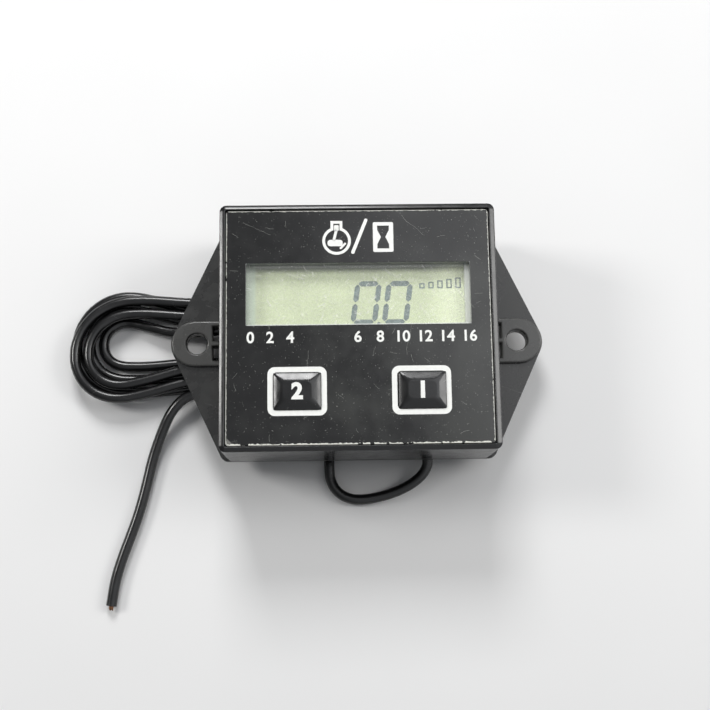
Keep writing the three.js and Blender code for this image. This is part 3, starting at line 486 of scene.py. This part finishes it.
def clear_pane(name):
    """The window: clear and thin, with dust, scratches and a faint haze, and pale bands painted
    along its edges as painted light over the display.
    """
    material, tree, shader, place = blank(name, Roughness=0.08)
    material.surface_render_method = "BLENDED"
    x, y, _ = axes(tree, place)
    close = put(tree, "VectorMath", {0: place, 1: (1.6, 1.9, 1.0)}, operation="MULTIPLY")
    marks = largest(tree, scratches(tree, close.outputs[0], 1.0, 4.0),
                    scratches(tree, place, 0.8, 3.0), dust(tree, place, 0.3, 1.7))
    # A real faint haze from the noise, and painted light as pale bands along the left, top, right
    # and bottom edges.
    haze_and_painted_light = largest(tree, ramp(tree, noise(tree, place, 2.6, 6.0), 0.42, 0.72, 0.05, 0.2),
                   ramp(tree, x, -17.0, -20.2, 0.0, 0.28), ramp(tree, y, 10.6, 11.3, 0.0, 0.3),
                   ramp(tree, x, 19.25, 19.4, 0.0, 0.5), ramp(tree, y, 0.56, 0.5, 0.0, 0.75))
    feed(tree, shader, Alpha=largest(tree, haze_and_painted_light, calc(tree, "MULTIPLY", marks, 0.55)),
         Base_Color=mixed(tree, marks, PANE_HAZE_AND_LIGHT, PANE_MARKS))
    return material


def segment_ink(name):
    """A switched segment of the display, slightly cloudy."""
    material, tree, shader, place = blank(name, Roughness=0.4)
    cloud = ramp(tree, noise(tree, place, 1.1, 4.0), 0.35, 0.65)
    base = colours().digits
    feed(tree, shader, Base_Color=mixed(tree, cloud, tone(base, 0.85), tone(base, 1.2)))
    return material


def lead_sleeve(name):
    """Glossy PVC, softly uneven, with dust and fine scratches."""
    material, tree, shader, place = blank(name)
    skin = grain(tree, place, 0.8)
    marks = largest(tree, dust(tree, place, 0.1, 2.0), scratches(tree, place, 0.3))
    base = colours().lead
    body = mixed(tree, skin["Mottle"], tone(base, 0.8), tone(base, 1.5))
    feed(tree, shader, Base_Color=mixed(tree, marks, body, LEAD_MARKS),
         Roughness=ramp(tree, skin["Mottle"], 0.0, 1.0, 0.2, 0.27))
    bump(tree, shader, skin["Height"], 0.006)
    return material


# After the base colour, moulded takes the roughness, the grain's size and depth, the share of
# specks and the spread of tones.
FINISHES = {
    "casing_plastic": lambda name: moulded(name, colours().casing, 0.2, 0.3, 0.003, 0.05),
    "base_plastic": lambda name: moulded(name, colours().base, 0.29, 0.16, 0.008, 0.1,
                                         rubbed=0.5, paler_above=7.1),
    "panel_gloss": glossy_panel,
    "key_gloss": glossy_cap,
    "print_white": printed,
    "clear_pane": clear_pane,
    "display_glass": display_ground,
    "segment_ink": segment_ink,
    "reflector_film": lambda name: moulded(name, (0.66, 0.68, 0.55), 0.4, 0.5, 0.002, 0.0),
    "rubber": lambda name: moulded(name, (0.012, 0.012, 0.012), 0.75, 0.1, 0.01),
    "laminate": lambda name: moulded(name, (0.015, 0.11, 0.04), 0.45, 0.35, 0.01, 0.0),
    "chip_body": lambda name: moulded(name, (0.01, 0.01, 0.01), 0.55, 0.08, 0.006, 0.0),
    "capacitor_sleeve": lambda name: moulded(name, (0.015, 0.03, 0.09), 0.35, 0.4, 0.003, 0.0),
    "steel": lambda name: moulded(name, (0.5, 0.51, 0.52), 0.32, 0.12, 0.004, 0.0, 0.1,
                                  Metallic=1.0),
    "nickel": lambda name: moulded(name, (0.42, 0.39, 0.33), 0.34, 0.2, 0.003, 0.0, 0.1,
                                   Metallic=1.0),
    "switch_plastic": lambda name: moulded(name, (0.035, 0.036, 0.04), 0.45, 0.12, 0.006, 0.0),
    "lead_sleeve": lead_sleeve,
    "copper": lambda name: moulded(name, colours().copper, 0.45, 0.1, 0.006, 0.0, 0.3,
                                   Metallic=1.0),
}


def finish_of(name):
    """The material of a finish, made the first time that it is asked for."""
    made = f"{name}_finish"
    return bpy.data.materials.get(made) or FINISHES[name](made)


# Modelling

def settle(made, body, slot, finish=None, stands_for=()):
    """Gives a finished object its material, by its finish or else its slot, and its body, and hides
    the nodes that it stands for.
    """
    if made.name not in bpy.context.scene.collection.objects:
        bpy.context.scene.collection.objects.link(made)
    made.data.materials.clear()
    made.data.materials.append(finish_of(finish or slot))
    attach(made, body)
    if stands_for:
        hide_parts(*stands_for)
    return made


def piece(bm, name, smooth=SHADED_ANGLE):
    """A bmesh in millimetres as an object in metres, closed, facing out and smooth-shaded."""
    bmesh.ops.remove_doubles(bm, verts=bm.verts, dist=0.0005)
    bmesh.ops.recalc_face_normals(bm, faces=bm.faces)
    bmesh.ops.scale(bm, vec=(MM,) * 3, verts=bm.verts)
    mesh = bpy.data.meshes.new(name)
    bm.to_mesh(mesh)
    bm.free()
    mesh.shade_smooth()
    mesh.set_sharp_from_angle(angle=math.radians(smooth))
    made = bpy.data.objects.new(name, mesh)
    weighted = made.modifiers.new("flat_faces", "WEIGHTED_NORMAL")
    weighted.keep_sharp = True
    return made


def softened(node, name, rounding, spared=None, sunk=None):
    """A copy of a CAD node's mesh, merged, with its sharp outer edges rounded. The edges that
    the test spared names stay sharp. What stands above the level sunk is pressed down towards
    it, to make room for a finer piece on top."""
    bm = bmesh.new()
    bm.from_mesh(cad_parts[node].data)
    bmesh.ops.scale(bm, vec=(1 / MM,) * 3, verts=bm.verts)
    bmesh.ops.remove_doubles(bm, verts=bm.verts, dist=0.001)
    bmesh.ops.dissolve_limit(bm, angle_limit=math.radians(0.5), verts=bm.verts, edges=bm.edges)
    sharp = [e for e in bm.edges if e.is_manifold
             and e.calc_face_angle_signed(0) > math.radians(ROUNDED_ANGLE)
             and not (spared and spared(e))]
    bmesh.ops.bevel(bm, geom=sharp, offset=rounding, offset_type="OFFSET", segments=3,
                    profile=0.5, affect="EDGES", clamp_overlap=False, material=-1)
    if sunk is not None:
        bmesh.ops.scale(bm, vec=(1, 1, 0.2), verts=[v for v in bm.verts if v.co.z > sunk],
                        space=Matrix.Translation((0, 0, -sunk)))
    return piece(bm, name)


def corners(parts):
    """The vertices of some edges or faces, each once."""
    return list(dict.fromkeys(v for part in parts for v in part.verts))


def outline(bm, points, rounding=0.0):
    """The edges of a closed loop through a few points, with its corners rounded."""
    old = set(bm.edges)
    face = bm.faces.new([bm.verts.new((x, y, 0)) for x, y in points])
    if rounding:
        bmesh.ops.bevel(bm, geom=list(face.verts), offset=rounding, offset_type="OFFSET",
                        segments=6, profile=0.5, affect="VERTICES", material=-1)
    loop = [e for e in bm.edges if e not in old]
    faces = list(dict.fromkeys(f for e in loop for f in e.link_faces))
    bmesh.ops.delete(bm, geom=faces, context="FACES_ONLY")
    return loop


def ring(bm, x, y, radius):
    """The edges of a small circle."""
    old = set(bm.edges)
    bmesh.ops.create_circle(bm, cap_ends=False, segments=20, radius=radius,
                            matrix=Matrix.Translation((x, y, 0)))
    return [e for e in bm.edges if e not in old]


def fill(bm, loops, low, high):
    """A flat solid between two levels. Its first loop is the outline, and the others are holes."""
    filled = bmesh.ops.triangle_fill(bm, use_beauty=True, use_dissolve=False,
                                     edges=[e for loop in loops for e in loop], normal=(0, 0, 1))
    faces = [g for g in filled["geom"] if isinstance(g, bmesh.types.BMFace)]
    if not faces:
        raise RuntimeError("a flat shape has no face")
    bmesh.ops.translate(bm, vec=(0, 0, low), verts=corners(faces))
    grown = bmesh.ops.extrude_face_region(bm, geom=faces)
    top = [g for g in grown["geom"] if isinstance(g, bmesh.types.BMVert)]
    bmesh.ops.translate(bm, vec=(0, 0, high - low), verts=top)


def lofted(bm, box, profile, closed):
    """A body through rounded rectangles that lie inside a box's outline. Each step of the profile
    is an inset in X, an inset in Y, a corner radius and a level. A closed profile makes a ring."""
    left, bottom, right, top = box
    loops = []
    for inset_x, inset_y, rounding, level in profile:
        loop = outline(bm, rectangle(left + inset_x, bottom + inset_y, right - inset_x,
                                     top - inset_y), rounding)
        bmesh.ops.translate(bm, vec=(0, 0, level), verts=corners(loop))
        loops.append(loop)
    for below, above in zip(loops, loops[1:] + loops[:1] if closed else loops[1:]):
        bmesh.ops.bridge_loops(bm, edges=[*below, *above])
    if not closed:
        bmesh.ops.edgenet_fill(bm, edges=loops[0])
        bmesh.ops.edgenet_fill(bm, edges=loops[-1])


def rectangle(left, bottom, right, top):
    """The four corners of a rectangle."""
    return (left, bottom), (right, bottom), (right, top), (left, top)


def stroke(start, end, width):
    """The four corners of a straight line of some width."""
    a, b = Vector(start), Vector(end)
    side = (b - a).orthogonal().normalized() * width / 2
    return [tuple(p) for p in (a + side, a - side, b - side, b + side)]


def flask(x, y, radius, neck, top):
    """The outline of a round flask with a straight neck, which is twice neck wide."""
    opening = math.asin(neck / radius)
    turns = [math.pi / 2 + opening + (2 * math.pi - 2 * opening) * k / 36 for k in range(37)]
    bowl = [(x + radius * math.cos(t), y + radius * math.sin(t)) for t in turns]
    return [*bowl, (x + neck, top), (x - neck, top)]


def numeral(text, height, x, y, z, rise, weight):
    """Plain numbers as a thin solid: x and y are their middle, and z is their underside."""
    writing = bpy.data.curves.new("writing", "FONT")
    writing.body = text
    writing.extrude = 0.5
    writing.offset = weight
    writing.resolution_u = 4
    holder = bpy.data.objects.new("writing", writing)
    bpy.context.scene.collection.objects.link(holder)
    bpy.context.view_layer.update()
    shaped = holder.evaluated_get(bpy.context.evaluated_depsgraph_get())
    mesh = bpy.data.meshes.new_from_object(shaped)
    bpy.data.objects.remove(holder)
    bm = bmesh.new()
    bm.from_mesh(mesh)
    bpy.data.meshes.remove(mesh)
    points = [v.co for v in bm.verts]
    low = [min(p[i] for p in points) for i in range(3)]
    high = [max(p[i] for p in points) for i in range(3)]
    scale = height / (high[1] - low[1])
    bmesh.ops.translate(bm, verts=bm.verts, vec=[-(a + b) / 2 for a, b in zip(low, high)])
    bmesh.ops.scale(bm, verts=bm.verts, vec=(scale, scale, rise / (high[2] - low[2])))
    bmesh.ops.translate(bm, verts=bm.verts, vec=(x, y, z + rise / 2))
    return bm


def joined(name, parts):
    """Several bmeshes as one object."""
    whole = bmesh.new()
    for part in parts:
        mesh = bpy.data.meshes.new("part")
        part.to_mesh(mesh)
        part.free()
        whole.from_mesh(mesh)
        bpy.data.meshes.remove(mesh)
    return piece(whole, name)


def hank_point(turns):
    """A point of the hank after some turns: two wound layers, drawn in at the waist, which
    fan apart to the left of the ear."""
    left, right, half, pitch, waist = -45.1, -13.0, 10.5, 2.58, 1.9
    middle, low_level, layer_rise, climb_start, outward = 0.55, 1.05, 2.42, 2.5, 0.9
    lean_share, fan_start, fan_share, fan_bend = 0.14, -31, 0.1, 6
    run = right - left
    share = run / (2 * run + 2 * math.pi * (half - pitch * HANK_TURNS / 4))
    climb = (turns - climb_start) / (share / 2)
    radius = (half - pitch * min(turns, HANK_TURNS - turns)
              + outward * min(max(climb - 0.5, 0), 1))
    along = turns % 1
    low, h = (-1 if along < 0.5 else 1), along % 0.5
    if h < share:
        s = h / share
        x = right - run * s if low < 0 else left + run * s
        y = low * (radius - waist * math.sin(math.pi * s) ** 2)
    else:
        a = math.pi * (h - share) / (0.5 - share)
        x = (left if low < 0 else right) + low * radius * math.sin(a)
        y = low * radius * math.cos(a)
    second = min(max(climb, 0), 1)
    lean = min(max((right - x) / run, 0), 1)
    lean = lean_share * lean * lean * (3 - 2 * lean) * (1 - second)
    beyond = max(0, fan_start - x)
    fan = fan_share * beyond * beyond / (beyond + fan_bend)
    return (x + lean * y, middle + y + (1 - 2 * second) * fan,
            low_level + layer_rise * second)


def lead_route():
    """The lead's whole route, from its strain relief to its bare end."""
    steps = 206
    hank = [hank_point(HANK_TURNS * k / steps) for k in range(steps + 1)]
    return [*LOOP_ROUTE, *hank, *FREE_ROUTE]


# Operators

# The camera's lens and sensor in millimetres, its place in metres, and its own axes.
CAMERA_LENS, CAMERA_SENSOR = 60.845, 36
CAMERA_PLACE = (-0.005172, -0.044808, 0.232725)
CAMERA_RIGHT = (0.99972169, -0.01519276, 0.01804752)
CAMERA_UP = (0.01160217, 0.98274439, 0.18460459)
CAMERA_BACK = (-0.02054075, -0.18434382, 0.98264716)

# Each lamp's place and size in metres, power in watts and tint.
LAMPS = {
    "key_light": ((0.45, 0.1, 0.4), 0.24, 1.2, (1.0, 0.99, 0.97)),
    "back_light": ((-0.07, 0.475, 0.42), 0.2, 2.4, (1.0, 1.0, 1.0)),
    "side_light": ((-0.457, 0.125, 0.366), 0.14, 1.25, (1.0, 0.99, 0.97)),
    "fill_light": ((0.215, 0.16, 0.555), 0.35, 0.5, (0.97, 0.98, 1.0)),
}

# The finish of each part of the frame that stays, by the start of its name.
INNER_FINISHES = {
    "housing_gasket": "rubber", "battery_cover_seal": "rubber",
    "lcd_front_glass": "display_glass", "lcd_back_glass": "display_glass",
    "lcd_reflector": "reflector_film", "lcd_holder": "switch_plastic",
    "contact_strip": "rubber", "circuit_board": "laminate", "controller_blob": "chip_body",
    "quartz_crystal": "steel", "storage_capacitor": "capacitor_sleeve",
    "input_resistor": "chip_body", "filter_capacitor": "reflector_film",
    "board_screw": "steel", "cover_screw": "steel", "key_switch": "switch_plastic",
    "key_plunger": "chip_body", "coin_cell": "steel", "battery_contact": "nickel",
    "lead_tail": "lead_sleeve",
}


class TACHOMETER_OT_stage(bpy.types.Operator):
    """Sets the camera, the pale floor and the studio light"""
    bl_idname = "tachometer.stage"
    bl_label = "Stage"

    def execute(self, context):
        scene = bpy.context.scene
        scene.view_settings.view_transform = "Standard"
        camera = bpy.data.objects.new("camera", bpy.data.cameras.new("camera"))
        camera.data.lens, camera.data.sensor_width = CAMERA_LENS, CAMERA_SENSOR
        camera.data.clip_start, camera.data.clip_end = 0.01, 10
        turn = Matrix((CAMERA_RIGHT, CAMERA_UP, CAMERA_BACK)).transposed().to_4x4()
        camera.matrix_world = Matrix.Translation(CAMERA_PLACE) @ turn
        scene.collection.objects.link(camera)
        scene.camera = camera

        bm = bmesh.new()
        bmesh.ops.create_grid(bm, x_segments=1, y_segments=1, size=1500,
                              matrix=Matrix.Translation((0, 0, -0.05)))
        floor = piece(bm, "floor")
        material, tree, shader, place = blank("pale_floor", Roughness=0.6)
        base = colours().floor
        feed(tree, shader, Base_Color=mixed(tree, noise(tree, place, 0.02, 2.0),
                                            tone(base, 0.97), tone(base, 1.03)))
        floor.data.materials.append(material)
        scene.collection.objects.link(floor)

        scene.world = bpy.data.worlds.new("studio")
        scene.world.use_nodes = True
        self.fill_world(scene.world.node_tree)
        for name, (spot, size, power, tint) in LAMPS.items():
            light = bpy.data.lights.new(name, "AREA")
            light.size, light.energy, light.color = size, power, tint
            holder = bpy.data.objects.new(name, light)
            holder.location = spot
            holder.rotation_euler = (-Vector(spot)).to_track_quat("-Z", "Y").to_euler()
            scene.collection.objects.link(holder)
        return {"FINISHED"}

    def fill_world(self, tree):
        """The world: white to the camera, and in reflections a room that is brighter to the
        right and overhead. It lights the object a little and evenly."""
        rays = put(tree, "LightPath").outputs
        seen = largest(tree, rays["Is Camera Ray"], rays["Is Glossy Ray"],
                       rays["Is Transmission Ray"])
        heading = axes(tree, put(tree, "TexCoord").outputs["Generated"])
        side = calc(tree, "MULTIPLY_ADD", heading[0], 0.9, 0.7)
        high = ramp(tree, heading[2], -0.1, 0.75, 0.35, 1.0)
        room = put(tree, "Clamp", {0: calc(tree, "MULTIPLY", side, high), 1: 0.25, 2: 1.0})
        shown = largest(tree, rays["Is Camera Ray"], room.outputs[0])
        even_light = calc(tree, "MULTIPLY", calc(tree, "SUBTRACT", 1.0, seen), 0.2)
        shade = tree.nodes["Background"]
        shade.inputs["Color"].default_value = (0.95, 0.97, 1.0, 1)
        feed(tree, shade, Strength=calc(tree, "MULTIPLY_ADD", seen, shown, even_light))


class TACHOMETER_OT_lead(bpy.types.Operator):
    """Lays the pickup lead from its strain relief through the hank to its bare end"""
    bl_idname = "tachometer.lead"
    bl_label = "Pickup lead"

    def execute(self, context):
        route = lead_route()
        line = bpy.data.curves.new("pickup_lead", "CURVE")
        line.dimensions = "3D"
        line.bevel_depth = sizes().lead_diameter / 2
        line.bevel_resolution = 5
        line.resolution_u = 3
        line.use_fill_caps = True
        spline = line.splines.new("BEZIER")
        spline.bezier_points.add(len(route) - 1)
        for knot, place in zip(spline.bezier_points, route):
            knot.co = Vector(place) * MM
            knot.handle_left_type = knot.handle_right_type = "AUTO"
        lead = settle(bpy.data.objects.new("pickup_lead", line), "meter", "lead_sleeve",
                      stands_for=("lead_loop", "lead_hank", "lead_free_end"))
        strands = settle(self.strands(route), "meter", "copper", stands_for=("lead_core",))
        return {"FINISHED"}

    def strands(self, route):
        """Seven bare strands past the cut sleeve, a little splayed."""
        end, before = Vector(route[-1]), Vector(route[-2])
        heading = (end - before).normalized().to_track_quat("Z", "Y")
        from_middle, splay_share = 0.29, 0.25
        bm = bmesh.new()
        for k, reach in enumerate((0.82, 0.6, 0.74, 0.5, 0.84, 0.66, 0.78)):
            turn = k * math.pi / 3
            off = Vector((math.cos(turn), math.sin(turn), 0)) * from_middle
            if k == 6:
                off = Vector((0, 0, 0))
            splay = Vector((0, 0, 1)) + off * splay_share
            aim = heading.to_matrix() @ splay.to_track_quat("Z", "Y").to_matrix()
            middle = end + heading @ (off + splay * (reach / 2 + 0.02))
            bmesh.ops.create_cone(bm, cap_ends=True, segments=8, radius1=0.13, radius2=0.1,
                                  depth=reach, matrix=Matrix.Translation(middle) @ aim.to_4x4())
        return piece(bm, "lead_strands", 50)


class TACHOMETER_OT_casing(bpy.types.Operator):
    """Builds the casing, the mounting base and the rear cover"""
    bl_idname = "tachometer.casing"
    bl_label = "Casing"

    def execute(self, context):
        edge = in_mm("edge")
        shoulder = RIM_TOP - 0.7
        for node, name, slot, width, spared, sunk in (
                ("front_housing", "casing_shell", "casing_plastic", edge, None, shoulder),
                ("mounting_base", "mounting_wings", "base_plastic", in_mm("wing_edge"), self.covered,
                 None),
                ("battery_cover", "rear_cover", "base_plastic", edge, None, None),
                ("lead_grommet", "strain_relief", "rubber", edge, None, None)):
            settle(softened(node, name, width, spared=spared, sunk=sunk), "meter", slot,
                   stands_for=(node,))
        low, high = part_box("front_housing")
        box = (low.x / MM, low.y / MM, high.x / MM, high.y / MM)
        # The rim's bead is 1.05 mm wide at the sides and 0.95 mm at the ends. Its section runs
        # from under the outer edge over the crest to the panel.
        side, end, corner = 1.05, 0.95, 1.2
        bead = [(share * side, share * end, corner - share, shoulder + rise)
                for share, rise in ((0.3, -0.1), (0, 0), (0, 0.25), (0.04, 0.35), (0.1, 0.41),
                                    (0.42, 0.555), (0.78, 0.67), (0.88, 0.69), (0.95, 0.66),
                                    (1, 0.56), (1, 0.14), (0.7, -0.1))]
        bm = bmesh.new()
        lofted(bm, box, bead, closed=True)
        settle(piece(bm, "casing_rim", 50), "meter", "casing_plastic")
        return {"FINISHED"}

    @staticmethod
    def covered(edge):
        """Whether an edge of the base lies under the casing, or runs into an ear's boss."""
        base_side, flange_top = 4.9, 6.7
        casing_x, casing_y, boss_y = 26.2, 22, 5.2
        return all(v.co.z > base_side and (
            abs(v.co.x) < casing_x and abs(v.co.y) < casing_y
            or v.co.z < flange_top and abs(v.co.y) < boss_y) for v in edge.verts)


class TACHOMETER_OT_panel(bpy.types.Operator):
    """Builds the glossy front panel and its white print"""
    bl_idname = "tachometer.panel"
    bl_label = "Front panel"

    def execute(self, context):
        settle(softened("front_panel", "dial_panel", 0.1), "meter", "panel_gloss",
               stands_for=("front_panel",))
        low, rise, line = PANEL_FRONT, in_mm("print_height"), in_mm("symbol_line")
        frames, symbols = bmesh.new(), bmesh.new()
        width = in_mm("frame_line")
        for left, bottom, right, top in KEY_FRAMES:
            fill(frames, [outline(frames, rectangle(left, bottom, right, top), 1.3),
                          outline(frames, rectangle(left + width, bottom + width, right - width,
                                                    top - width), 0.7)], low, low + rise)
        settle(piece(frames, "key_frames"), "meter", "panel_gloss", "print_white")

        # The flask with its filling, the slanting stroke, and the sand glass in its frame.
        x, y, radius, neck, top = -3.8, 15.65, 2.6, 1.08, 19.4
        for loops in (
                [outline(symbols, flask(x, y, radius, neck, top)),
                 outline(symbols, flask(x, y, radius - line, neck - line, top - line))],
                [outline(symbols, rectangle(x - 0.44, 17.55, x + 0.42, 18.6), 0.2)],
                [outline(symbols, stroke((x - 0.02, 17.7), (x - 0.5, 15.75), 0.5))],
                [outline(symbols, rectangle(x - 1.65, 14.65, x + 1.1, 15.85), 0.5)],
                [outline(symbols, stroke((x + 1.65, 15.25), (x + 0.6, 14.15), 0.38), 0.15)],
                [outline(symbols, stroke((1.66, 19.78), (-0.99, 13.22), 0.62), 0.28)],
                [outline(symbols, rectangle(2.8, 13.5, 6.5, 19.1), 0.3),
                 outline(symbols, ((3.58, 14.15), (5.72, 14.15), (5.7, 15.0), (5.3, 15.8),
                                   (5.05, 16.3), (5.3, 16.8), (5.7, 17.6), (5.72, 18.45),
                                   (3.58, 18.45), (3.6, 17.6), (4.0, 16.8), (4.25, 16.3),
                                   (4.0, 15.8), (3.6, 15.0)))]):
            fill(symbols, loops, low, low + rise)
        settle(piece(symbols, "dial_symbols"), "meter", "panel_gloss", "print_white")

        height = in_mm("numeral_height")
        numbers = [numeral(str(number), height, place, SCALE_MIDDLE, low, rise, weight=0.022)
                   for number, place in SCALE_PLACES.items()]
        settle(joined("scale_numbers", numbers), "meter", "panel_gloss", "print_white")
        return {"FINISHED"}


class TACHOMETER_OT_display(bpy.types.Operator):
    """Builds the window, the display glass and its switched segments"""
    bl_idname = "tachometer.display"
    bl_label = "Display"

    def execute(self, context):
        settle(softened("display_window", "window_pane", 0.08), "meter", "clear_pane",
               stands_for=("display_window",))
        bm = bmesh.new()
        low, high = GLASS_FRONT, GLASS_FRONT + INK_RISE
        wide, tall = in_mm("digit_width"), in_mm("digit_height")
        for left in DIGIT_LEFTS:
            for upright, at, start, stop in (
                    (False, 0.0, 0.0, wide), (False, tall, 0.0, wide),
                    (True, 0.0, 0.0, tall / 2), (True, wide, 0.0, tall / 2),
                    (True, 0.0, tall / 2, tall), (True, wide, tall / 2, tall)):
                points = self.segment(left, upright, at, start, stop)
                fill(bm, [outline(bm, points, 0.1)], low, high)
        fill(bm, [ring(bm, *DIGIT_POINT, 0.3)], low, high)
        # Five hollow bars on one line, each higher than the last.
        bottom, line = 7.3, 0.24
        for k in range(5):
            start, stop, top = 11.2 + 1.65 * k, 12.2 + 1.65 * k, 8.3 + 0.25 * k
            fill(bm, [outline(bm, rectangle(start, bottom, stop, top), 0.12),
                      outline(bm, rectangle(start + line, bottom + line, stop - line,
                                            top - line))], low, high)
        settle(piece(bm, "display_segments"), "meter", "display_glass", "segment_ink")
        return {"FINISHED"}

    def segment(self, left, upright, at, start, stop):
        """The outline of one mitred segment of a slanted digit, from start to stop along it and
        with its outer side at the given level across it."""
        half = in_mm("digit_stroke") / 2
        ends = in_mm("digit_width"), in_mm("digit_height")
        across = at + (half if at == 0 else -half)
        a = start + SEGMENT_GAP + (half if start == 0 else 0)
        b = stop - SEGMENT_GAP - (half if stop in ends else 0)
        flat = [(a, across), (a + half, across + half), (b - half, across + half), (b, across),
                (b - half, across - half), (a + half, across - half)]
        points = [(y, x) if upright else (x, y) for x, y in flat]
        slant = sizes().digit_slant
        return [(left + x + slant * y, DIGIT_BOTTOM + y) for x, y in points]


class TACHOMETER_OT_keys(bpy.types.Operator):
    """Builds the two glossy key caps and their numbers"""
    bl_idname = "tachometer.keys"
    bl_label = "Keys"

    def execute(self, context):
        for side, number in (("left", "2"), ("right", "1")):
            cap = softened(f"key_cap_{side}", f"cap_{side}", 0.1, sunk=PANEL_FRONT)
            settle(cap, f"{side}_key", "key_gloss", stands_for=(f"key_cap_{side}",))
            centre = KEY_CENTRES[side]
            half_x, half_y = CAP_HALF
            box = (centre.x - half_x, centre.y - half_y, centre.x + half_x, centre.y + half_y)
            # The face rises from its rounded outer edge over the slope to its flat crown.
            edge, slope = 0.15, in_mm("key_slope")
            steps = ((0.2, 1.1), (0, 0.85), (0, 0.74), (0.05, 0.6), (edge, 0.5),
                     (edge + slope * 0.5, 0.27), (edge + slope * 0.85, 0.12),
                     (edge + slope * 1.05, 0.05), (edge + slope * 1.3, 0))
            bm = bmesh.new()
            lofted(bm, box, [(inset, inset, 0.35 + 0.3 * inset, KEY_TOP - fall)
                             for inset, fall in steps], closed=False)
            settle(piece(bm, f"cap_face_{side}", 60), f"{side}_key", "key_gloss")
            label = numeral(number, in_mm("label_height"), centre.x, centre.y, KEY_TOP - 0.01,
                            INK_RISE, weight=0.045)
            settle(piece(label, f"number_{side}"), f"{side}_key", "key_gloss", "print_white")
        return {"FINISHED"}


class TACHOMETER_OT_inner(bpy.types.Operator):
    """Gives every remaining part of the frame its finish"""
    bl_idname = "tachometer.inner"
    bl_label = "Inner parts"

    def execute(self, context):
        for name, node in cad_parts.items():
            if node.hide_render:
                continue
            found = [finish for start, finish in INNER_FINISHES.items()
                     if name.startswith(start)]
            if not found:
                raise RuntimeError(f"{name} has no finish")
            for holder in node.material_slots:
                holder.material = finish_of(found[0])
        return {"FINISHED"}


STEPS = (TACHOMETER_OT_stage, TACHOMETER_OT_lead, TACHOMETER_OT_casing, TACHOMETER_OT_panel,
         TACHOMETER_OT_display, TACHOMETER_OT_keys, TACHOMETER_OT_inner)


class TACHOMETER_PT_build(bpy.types.Panel):
    """Lists the steps, the sizes and the colours"""
    bl_label = "Tachometer"
    bl_space_type = "VIEW_3D"
    bl_region_type = "UI"
    bl_category = "Tachometer"

    def draw(self, context):
        for step in STEPS:
            self.layout.operator(step.bl_idname)
        for group in (context.scene.meter_sizes, context.scene.meter_colours):
            box = self.layout.box()
            for name in group.__annotations__:
                box.prop(group, name)


CLASSES = (MeterSizes, MeterColours, *STEPS, TACHOMETER_PT_build)


def register():
    for kind in CLASSES:
        bpy.utils.register_class(kind)
    bpy.types.Scene.meter_sizes = bpy.props.PointerProperty(type=MeterSizes)
    bpy.types.Scene.meter_colours = bpy.props.PointerProperty(type=MeterColours)


def unregister():
    del bpy.types.Scene.meter_colours
    del bpy.types.Scene.meter_sizes
    for kind in reversed(CLASSES):
        bpy.utils.unregister_class(kind)


def main():
    register()
    for step in STEPS:
        group, name = step.bl_idname.split(".")
        getattr(getattr(bpy.ops, group), name)()


if __name__ == "__main__":
    main()
